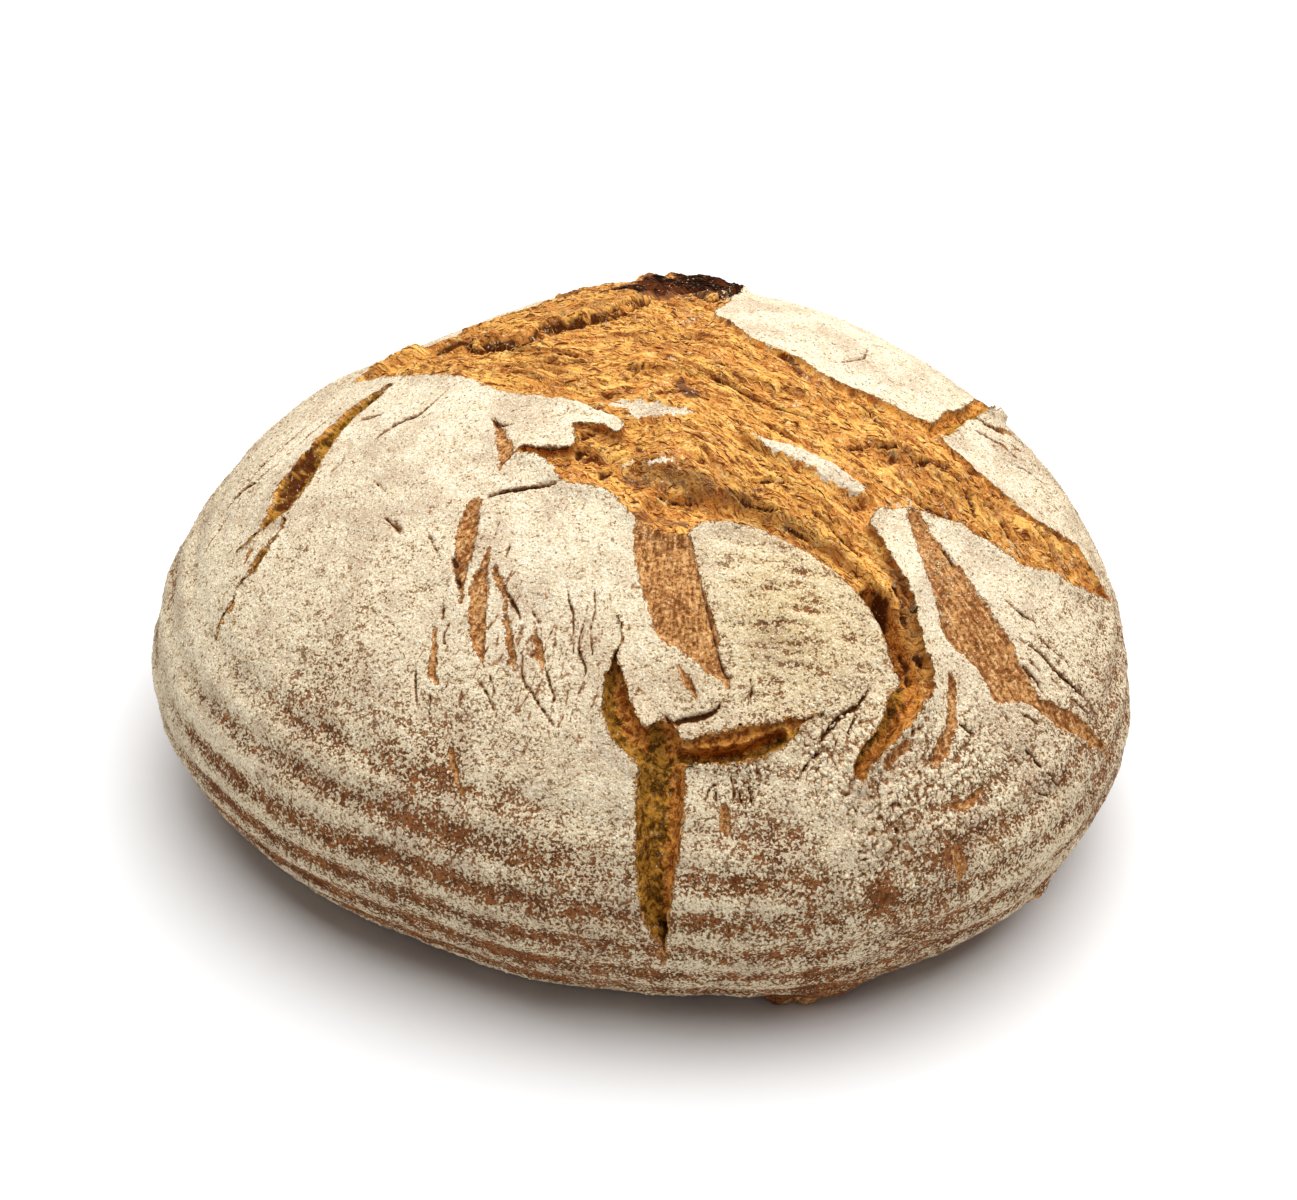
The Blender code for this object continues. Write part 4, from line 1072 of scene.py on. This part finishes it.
def stretched(tree, place, factors):
    """A place with each of its coordinates times its own factor."""
    return put(tree, "ShaderNodeVectorMath", {0: place, 1: factors}, operation="MULTIPLY").outputs[0]


def new_group(name, inputs, outputs):
    """An empty shader group with named sockets, and its inner input and output nodes."""
    group = bpy.data.node_groups.new(name, "ShaderNodeTree")
    for label, kind in inputs.items():
        group.interface.new_socket(name=label, in_out="INPUT", socket_type=kind)
    for label, kind in outputs.items():
        group.interface.new_socket(name=label, in_out="OUTPUT", socket_type=kind)
    return group, group.nodes.new("NodeGroupInput").outputs, group.nodes.new("NodeGroupOutput").inputs


FLOAT, COLOUR, VECTOR = "NodeSocketFloat", "NodeSocketColor", "NodeSocketVector"
SURFACE = {"Colour": COLOUR, "Height": FLOAT}


def flour_group():
    """Flour in grains and clumps over another colour: thin where there is little, cream where it is thick."""
    inputs = {"Place": VECTOR, "Amount": FLOAT, "Toast": FLOAT, "Under": COLOUR}
    group, given, made = new_group("flour dusting", inputs, SURFACE)
    place = given["Place"]
    fine = noise(group, place, 0.00075, 2.0, 0.6)
    middle = noise(group, place, 0.0015, 2.0, 0.6)
    clumps = noise(group, place, 0.0042, 2.0, 0.5)
    heap = weighed(group, (middle, 0.34), (fine, 0.42), (clumps, 0.24))
    level = weighed(group, (given["Amount"], 1.0), (heap, 3.6), start=-1.8)
    cover = step(group, level, 0.2, 0.44)
    tone = blend(group, step(group, level, 0.32, 0.6), tint("thin flour"), tint("flour"))
    tone = wash(group, tone, level, 0.7, 1.2, 1.0, "thick flour")
    # Greyish patches, laid at random over the flour
    tone = wash(group, tone, noise(group, place, 0.014, 3.0, 0.6), 0.42, 0.7, 0.7, "grey flour patch")
    tone = blend(group, weighed(group, (given["Toast"], 0.8)), tone, tint("toasted flour"), "MULTIPLY")
    dots = noise(group, place, 0.0005, 1.0, 0.5)
    tone = wash(group, tone, dots, 0.55, 0.66, 0.55, "light grain")
    tone = wash(group, tone, dots, 0.45, 0.34, 0.45, "dull grain")
    haze = step(group, given["Amount"], 0.35, 0.8, 0.0, 0.7)
    under = blend(group, haze, given["Under"], tint("flour haze"))
    colour = blend(group, cover, under, tone)
    # Scattered dark specks over the flour, fewer where the haze lies
    specks = weighed(group, (haze, -0.04), start=noise(group, place, 0.00095, 1.0, 0.5))
    group.links.new(wash(group, colour, specks, 0.6, 0.69, 0.75, "dark speck"), made["Colour"])
    group.links.new(weighed(group, (cover, 0.35), start=heap), made["Height"])
    return group


def baked_group():
    """Smooth baked crust: brown with dark specks under the flour, and golden where it opened late."""
    group, given, made = new_group("baked skin", {"Place": VECTOR, "Along": VECTOR, "Golden": FLOAT}, SURFACE)
    patches = step(group, noise(group, given["Place"], 0.007, 3.0, 0.6), 0.35, 0.65)
    fine = noise(group, given["Place"], 0.0011, 3.0, 0.65)
    brown = blend(group, patches, tint("brown skin"), tint("dark skin"))
    brown = wash(group, brown, fine, 0.48, 0.6, 0.9, "skin speck")
    golden = blend(group, patches, tint("bare crust"), tint("brown bare crust"))
    streaks = weighed(group, (noise(group, given["Along"], 0.0016, 3.0, 0.6), 0.4), (fine, 0.6))
    golden = wash(group, golden, streaks, 0.5, 0.58, 0.9, "dark streak")
    golden = wash(group, golden, streaks, 0.48, 0.4, 0.75, "light streak")
    group.links.new(blend(group, given["Golden"], brown, golden), made["Colour"])
    group.links.new(fine, made["Height"])
    return group


def torn_group():
    """The torn inside: golden strands, with painted highlights on the fibre crests and painted shade between the
    fibres, in the hollows between strands and in creases; scorched in spots.
    """
    inputs = {"Place": VECTOR, "Fibre": VECTOR, "Strand": FLOAT, "Scorch": FLOAT, "Shade": FLOAT}
    group, given, made = new_group("torn crust", inputs, SURFACE)
    broad = noise(group, given["Fibre"], 0.0042, 3.0, 0.6, 0.4)
    fine = noise(group, given["Fibre"], 0.0012, 3.0, 0.65, 0.5)
    grit = noise(group, given["Place"], 0.0008, 2.0, 0.6)
    tangle = noise(group, given["Fibre"], 0.0085, 3.0, 0.55, 1.2)
    colour = wash(group, tint("golden strand"), broad, 0.4, 0.58, 1.0, "brown strand")
    colour = wash(group, colour, tangle, 0.52, 0.7, 0.6, "tangled strand")
    # Painted highlight where the fibre noise, which also raises the bump, is high; painted shade where it is low
    # and in the hollows between strands
    colour = wash(group, colour, fine, 0.54, 0.68, 0.8, "painted strand highlight")
    colour = blend(group, step(group, fine, 0.34, 0.5), tint("painted shade between fibres"), colour)
    colour = blend(group, step(group, given["Strand"], 0.1, 0.5), tint("painted shade between strands"), colour)
    colour = wash(group, colour, grit, 0.58, 0.7, 0.6, "dark grit")
    colour = wash(group, colour, grit, 0.42, 0.3, 0.5, "light grit")
    # Painted shade in creases and holes and under the upper layer's edge
    shade = weighed(group, (fine, 0.8), (given["Shade"], 1.0), start=-0.4)
    colour = wash(group, colour, shade, 0.3, 0.85, 1.0, "painted shade")
    scorch = weighed(group, (fine, 1.6), (given["Scorch"], 1.0), start=-0.8)
    colour = wash(group, colour, scorch, 0.3, 0.9, 0.85, "scorched")
    burnt = blend(group, step(group, broad, 0.42, 0.62), tint("charred"), tint("charred brown"))
    colour = blend(group, step(group, scorch, 1.15, 1.45), colour, burnt)
    group.links.new(colour, made["Colour"])
    group.links.new(weighed(group, (grit, 0.5), start=fine), made["Height"])
    return group


def crumb_group():
    """Open crumb deep in a split, with dark pores: olive brown as painted shade on one wall, and orange as painted
    light on the side that faces up.
    """
    group, given, made = new_group("open crumb", {"Place": VECTOR, "Side": FLOAT}, SURFACE)
    pores = noise(group, given["Place"], 0.0026, 4.0, 0.7, 0.6)
    solid = step(group, pores, 0.38, 0.6)
    # Olive crumb is painted shade and orange crumb painted light, chosen by the side of the split
    shaded_crumb = blend(group, solid, tint("shaded pore"), tint("crumb"))
    lit_crumb = blend(group, solid, tint("lit pore"), tint("lit crumb"))
    side = weighed(group, (pores, 1.6), (given["Side"], 1.0), start=-0.8)
    group.links.new(blend(group, step(group, side, 0.05, 0.5), shaded_crumb, lit_crumb), made["Colour"])
    group.links.new(pores, made["Height"])
    return group


def attribute(tree, name, output="Fac"):
    """A mark kept at the mesh's vertices."""
    return put(tree, "ShaderNodeAttribute", attribute_name=name, attribute_type="GEOMETRY").outputs[output]


def use(tree, group, values):
    """A group node with these values or links on its inputs; gives its outputs."""
    return put(tree, "ShaderNodeGroup", values, node_tree=group).outputs


def new_material(name, roughness):
    """A material with a faint sheen, with its node tree and its shader."""
    material = bpy.data.materials.new(name)
    material.use_nodes = True
    shader = material.node_tree.nodes["Principled BSDF"]
    shader.inputs["Roughness"].default_value = roughness
    shader.inputs["Metallic"].default_value = 0.0
    shader.inputs["Specular IOR Level"].default_value = 0.06
    return material, material.node_tree, shader


def rough_surface(tree, shader, height, strength, distance):
    """Low relief from a height that varies over the surface."""
    bump = put(tree, "ShaderNodeBump", {"Height": height, "Strength": strength, "Distance": distance})
    tree.links.new(bump.outputs["Normal"], shader.inputs["Normal"])


def crust_material(flour, baked, torn, crumbs):
    """Floured skin, bare skin, torn inside and crumb, each where the marks on the mesh say."""
    material, tree, shader = new_material("floured crust", 0.85)
    place = put(tree, "ShaderNodeTexCoord").outputs["Object"]
    mark = {name: attribute(tree, name) for name in (
        "opened", "bare", "island", "crack", "deep", "side", "shade", "strand", "scorch", "flour", "toast", "dust",
    )}
    flank, fibre = attribute(tree, "flank", "Vector"), attribute(tree, "fibre", "Vector")
    fray = weighed(tree, (noise(tree, place, 0.0013, 3.0, 0.65), 1.0), start=-0.5)
    is_open = step(tree, weighed(tree, (fray, 1.2), start=mark["opened"]), -0.1, 0.15)
    is_bare = step(tree, weighed(tree, (fray, 3.0), start=mark["bare"]), -0.15, 0.3)
    rim = step(tree, weighed(tree, (fray, 1.6), start=mark["opened"]), -0.9, -0.2)
    crack = weighed(tree, (fray, 1.0), start=mark["crack"])

    rows = noise(tree, stretched(tree, flank, (0.12, 0.12, 1.0)), 0.0016, 2.0, 0.6)
    amount = weighed(tree, (mark["flour"], 1.0), (rows, 0.36), (is_bare, -0.95), (rim, -0.4), start=-0.18)
    golden = put(tree, "ShaderNodeMath", {0: is_bare, 1: rim}, operation="MAXIMUM").outputs[0]
    along = stretched(tree, flank, (1.0, 1.0, 0.3))
    skin_under = use(tree, baked, {"Place": place, "Along": along, "Golden": golden})
    dust = use(tree, flour, {
        "Place": place, "Amount": amount, "Toast": mark["toast"], "Under": skin_under["Colour"],
    })
    skin_colour = wash(tree, dust["Colour"], crack, -0.1, 0.08, 0.85, "crack edge")
    skin_colour = wash(tree, skin_colour, crack, 0.04, 0.32, 1.0, "crack")

    inside = use(tree, torn, {
        "Place": place, "Fibre": fibre, "Strand": mark["strand"], "Scorch": mark["scorch"], "Shade": mark["shade"],
    })
    # Crumb colour in the deep splits, except where painted shade lies
    deep = weighed(tree, (step(tree, mark["deep"], 0.2, 1.3), step(tree, mark["shade"], 0.9, 0.3)))
    pores = use(tree, crumbs, {"Place": place, "Side": mark["side"]})
    inside_colour = blend(tree, deep, inside["Colour"], pores["Colour"])
    island = step(tree, weighed(tree, (fray, 3.0), start=mark["island"]), -0.2, 0.35)
    dusted = weighed(tree, (island, 1.1), start=mark["dust"])
    light_dust = use(tree, flour, {"Place": place, "Amount": dusted, "Toast": 0.0, "Under": inside_colour})
    tree.links.new(blend(tree, is_open, skin_colour, light_dust["Colour"]), shader.inputs["Base Color"])

    skin_height = weighed(tree, (skin_under["Height"], 0.4), start=dust["Height"])
    torn_height = weighed(tree, (pores["Height"], deep), start=inside["Height"])
    heights = {0: is_open, 2: skin_height, 3: torn_height}
    rough_surface(tree, shader, put(tree, "ShaderNodeMix", heights, data_type="FLOAT").outputs[0], 0.9, 0.0008)
    tree.links.new(step(tree, is_open, 0.0, 1.0, 0.9, 0.7), shader.inputs["Roughness"])
    return material


def shred_material(torn):
    """Single shreds of torn crust, each lighter or darker as a whole."""
    material, tree, shader = new_material("torn shreds", 0.6)
    place = put(tree, "ShaderNodeTexCoord").outputs["Object"]
    tone = attribute(tree, "tone")
    inside = use(tree, torn, {
        "Place": place, "Fibre": place, "Strand": step(tree, tone, 0.0, 1.0, 0.15, 0.9),
        "Scorch": attribute(tree, "scorch"), "Shade": step(tree, tone, 0.12, 0.0, 0.0, 0.8),
    })
    tree.links.new(inside["Colour"], shader.inputs["Base Color"])
    rough_surface(tree, shader, inside["Height"], 0.7, 0.0004)
    return material


def clump_material(flour):
    """Clumps of flour, some of them toasted."""
    material, tree, shader = new_material("flour clumps", 0.95)
    place = put(tree, "ShaderNodeTexCoord").outputs["Object"]
    amount = step(tree, attribute(tree, "tone"), 0.0, 1.0, 0.7, 1.2)
    dust = use(tree, flour, {"Place": place, "Amount": amount, "Toast": 0.2, "Under": tint("under a clump")})
    tree.links.new(dust["Colour"], shader.inputs["Base Color"])
    rough_surface(tree, shader, dust["Height"], 0.6, 0.0003)
    return material


def make_stage():
    """A pale floor, a white surround and one wide soft light from above and slightly behind."""
    mesh = bpy.data.meshes.new("floor")
    corners = [(FLOOR_REACH * x, FLOOR_REACH * y, -FLOOR_DROP) for x, y in ((-1, -1), (1, -1), (1, 1), (-1, 1))]
    mesh.from_pydata(corners, [], [(0, 1, 2, 3)])
    floor = bpy.data.objects.new("floor", mesh)
    bpy.context.scene.collection.objects.link(floor)
    material, _, shader = new_material("pale floor", 0.9)
    shader.inputs["Base Color"].default_value = (FLOOR_TONE, FLOOR_TONE, FLOOR_TONE, 1.0)
    mesh.materials.append(material)
    world = bpy.data.worlds.new("surround")
    world.use_nodes = True
    world.node_tree.nodes["Background"].inputs["Color"].default_value = (1.0, 1.0, 1.0, 1.0)
    world.node_tree.nodes["Background"].inputs["Strength"].default_value = SURROUND_LIGHT
    bpy.context.scene.world = world
    lamp = bpy.data.lights.new("key", "AREA")
    lamp.energy = LAMP_POWER
    lamp.size = LAMP_SIZE
    holder = bpy.data.objects.new("key", lamp)
    holder.location = LAMP_PLACE
    lit = Vector((0.0, 0.0, CAMERA_TARGET_HEIGHT))
    holder.rotation_euler = (holder.location - lit).to_track_quat("Z", "Y").to_euler()
    bpy.context.scene.collection.objects.link(holder)
    bpy.context.scene.view_settings.view_transform = "Standard"


def make_camera():
    """The photograph's viewpoint: 41 degrees up, straight from the front."""
    up = np.radians(CAMERA_ANGLE)
    target = Vector((-DOME_MIDDLE[0] * MM, -DOME_MIDDLE[1] * MM, CAMERA_TARGET_HEIGHT))
    back = Vector((0.0, -np.cos(up), np.sin(up)))
    lens = bpy.data.cameras.new("camera")
    lens.sensor_width = SENSOR_WIDTH
    lens.lens = LENS_PIXELS / PHOTO_WIDTH * SENSOR_WIDTH
    lens.shift_x = (PHOTO_WIDTH / 2 - LOOKED_AT[0]) / PHOTO_WIDTH
    lens.shift_y = (LOOKED_AT[1] - PHOTO_HEIGHT / 2) / PHOTO_WIDTH
    camera = bpy.data.objects.new("camera", lens)
    camera.location = target + back * CAMERA_DISTANCE
    camera.rotation_euler = back.to_track_quat("Z", "Y").to_euler()
    bpy.context.scene.collection.objects.link(camera)
    bpy.context.scene.camera = camera


make_stage()
make_camera()
flour_dust, baked_skin, torn_crust, open_crumb = flour_group(), baked_group(), torn_group(), crumb_group()
map_x, map_y, crust_marks = make_crust(crust_material(flour_dust, baked_skin, torn_crust, open_crumb))
make_shreds(map_x, map_y, crust_marks, shred_material(torn_crust))
make_clumps(map_x, map_y, crust_marks, clump_material(flour_dust))
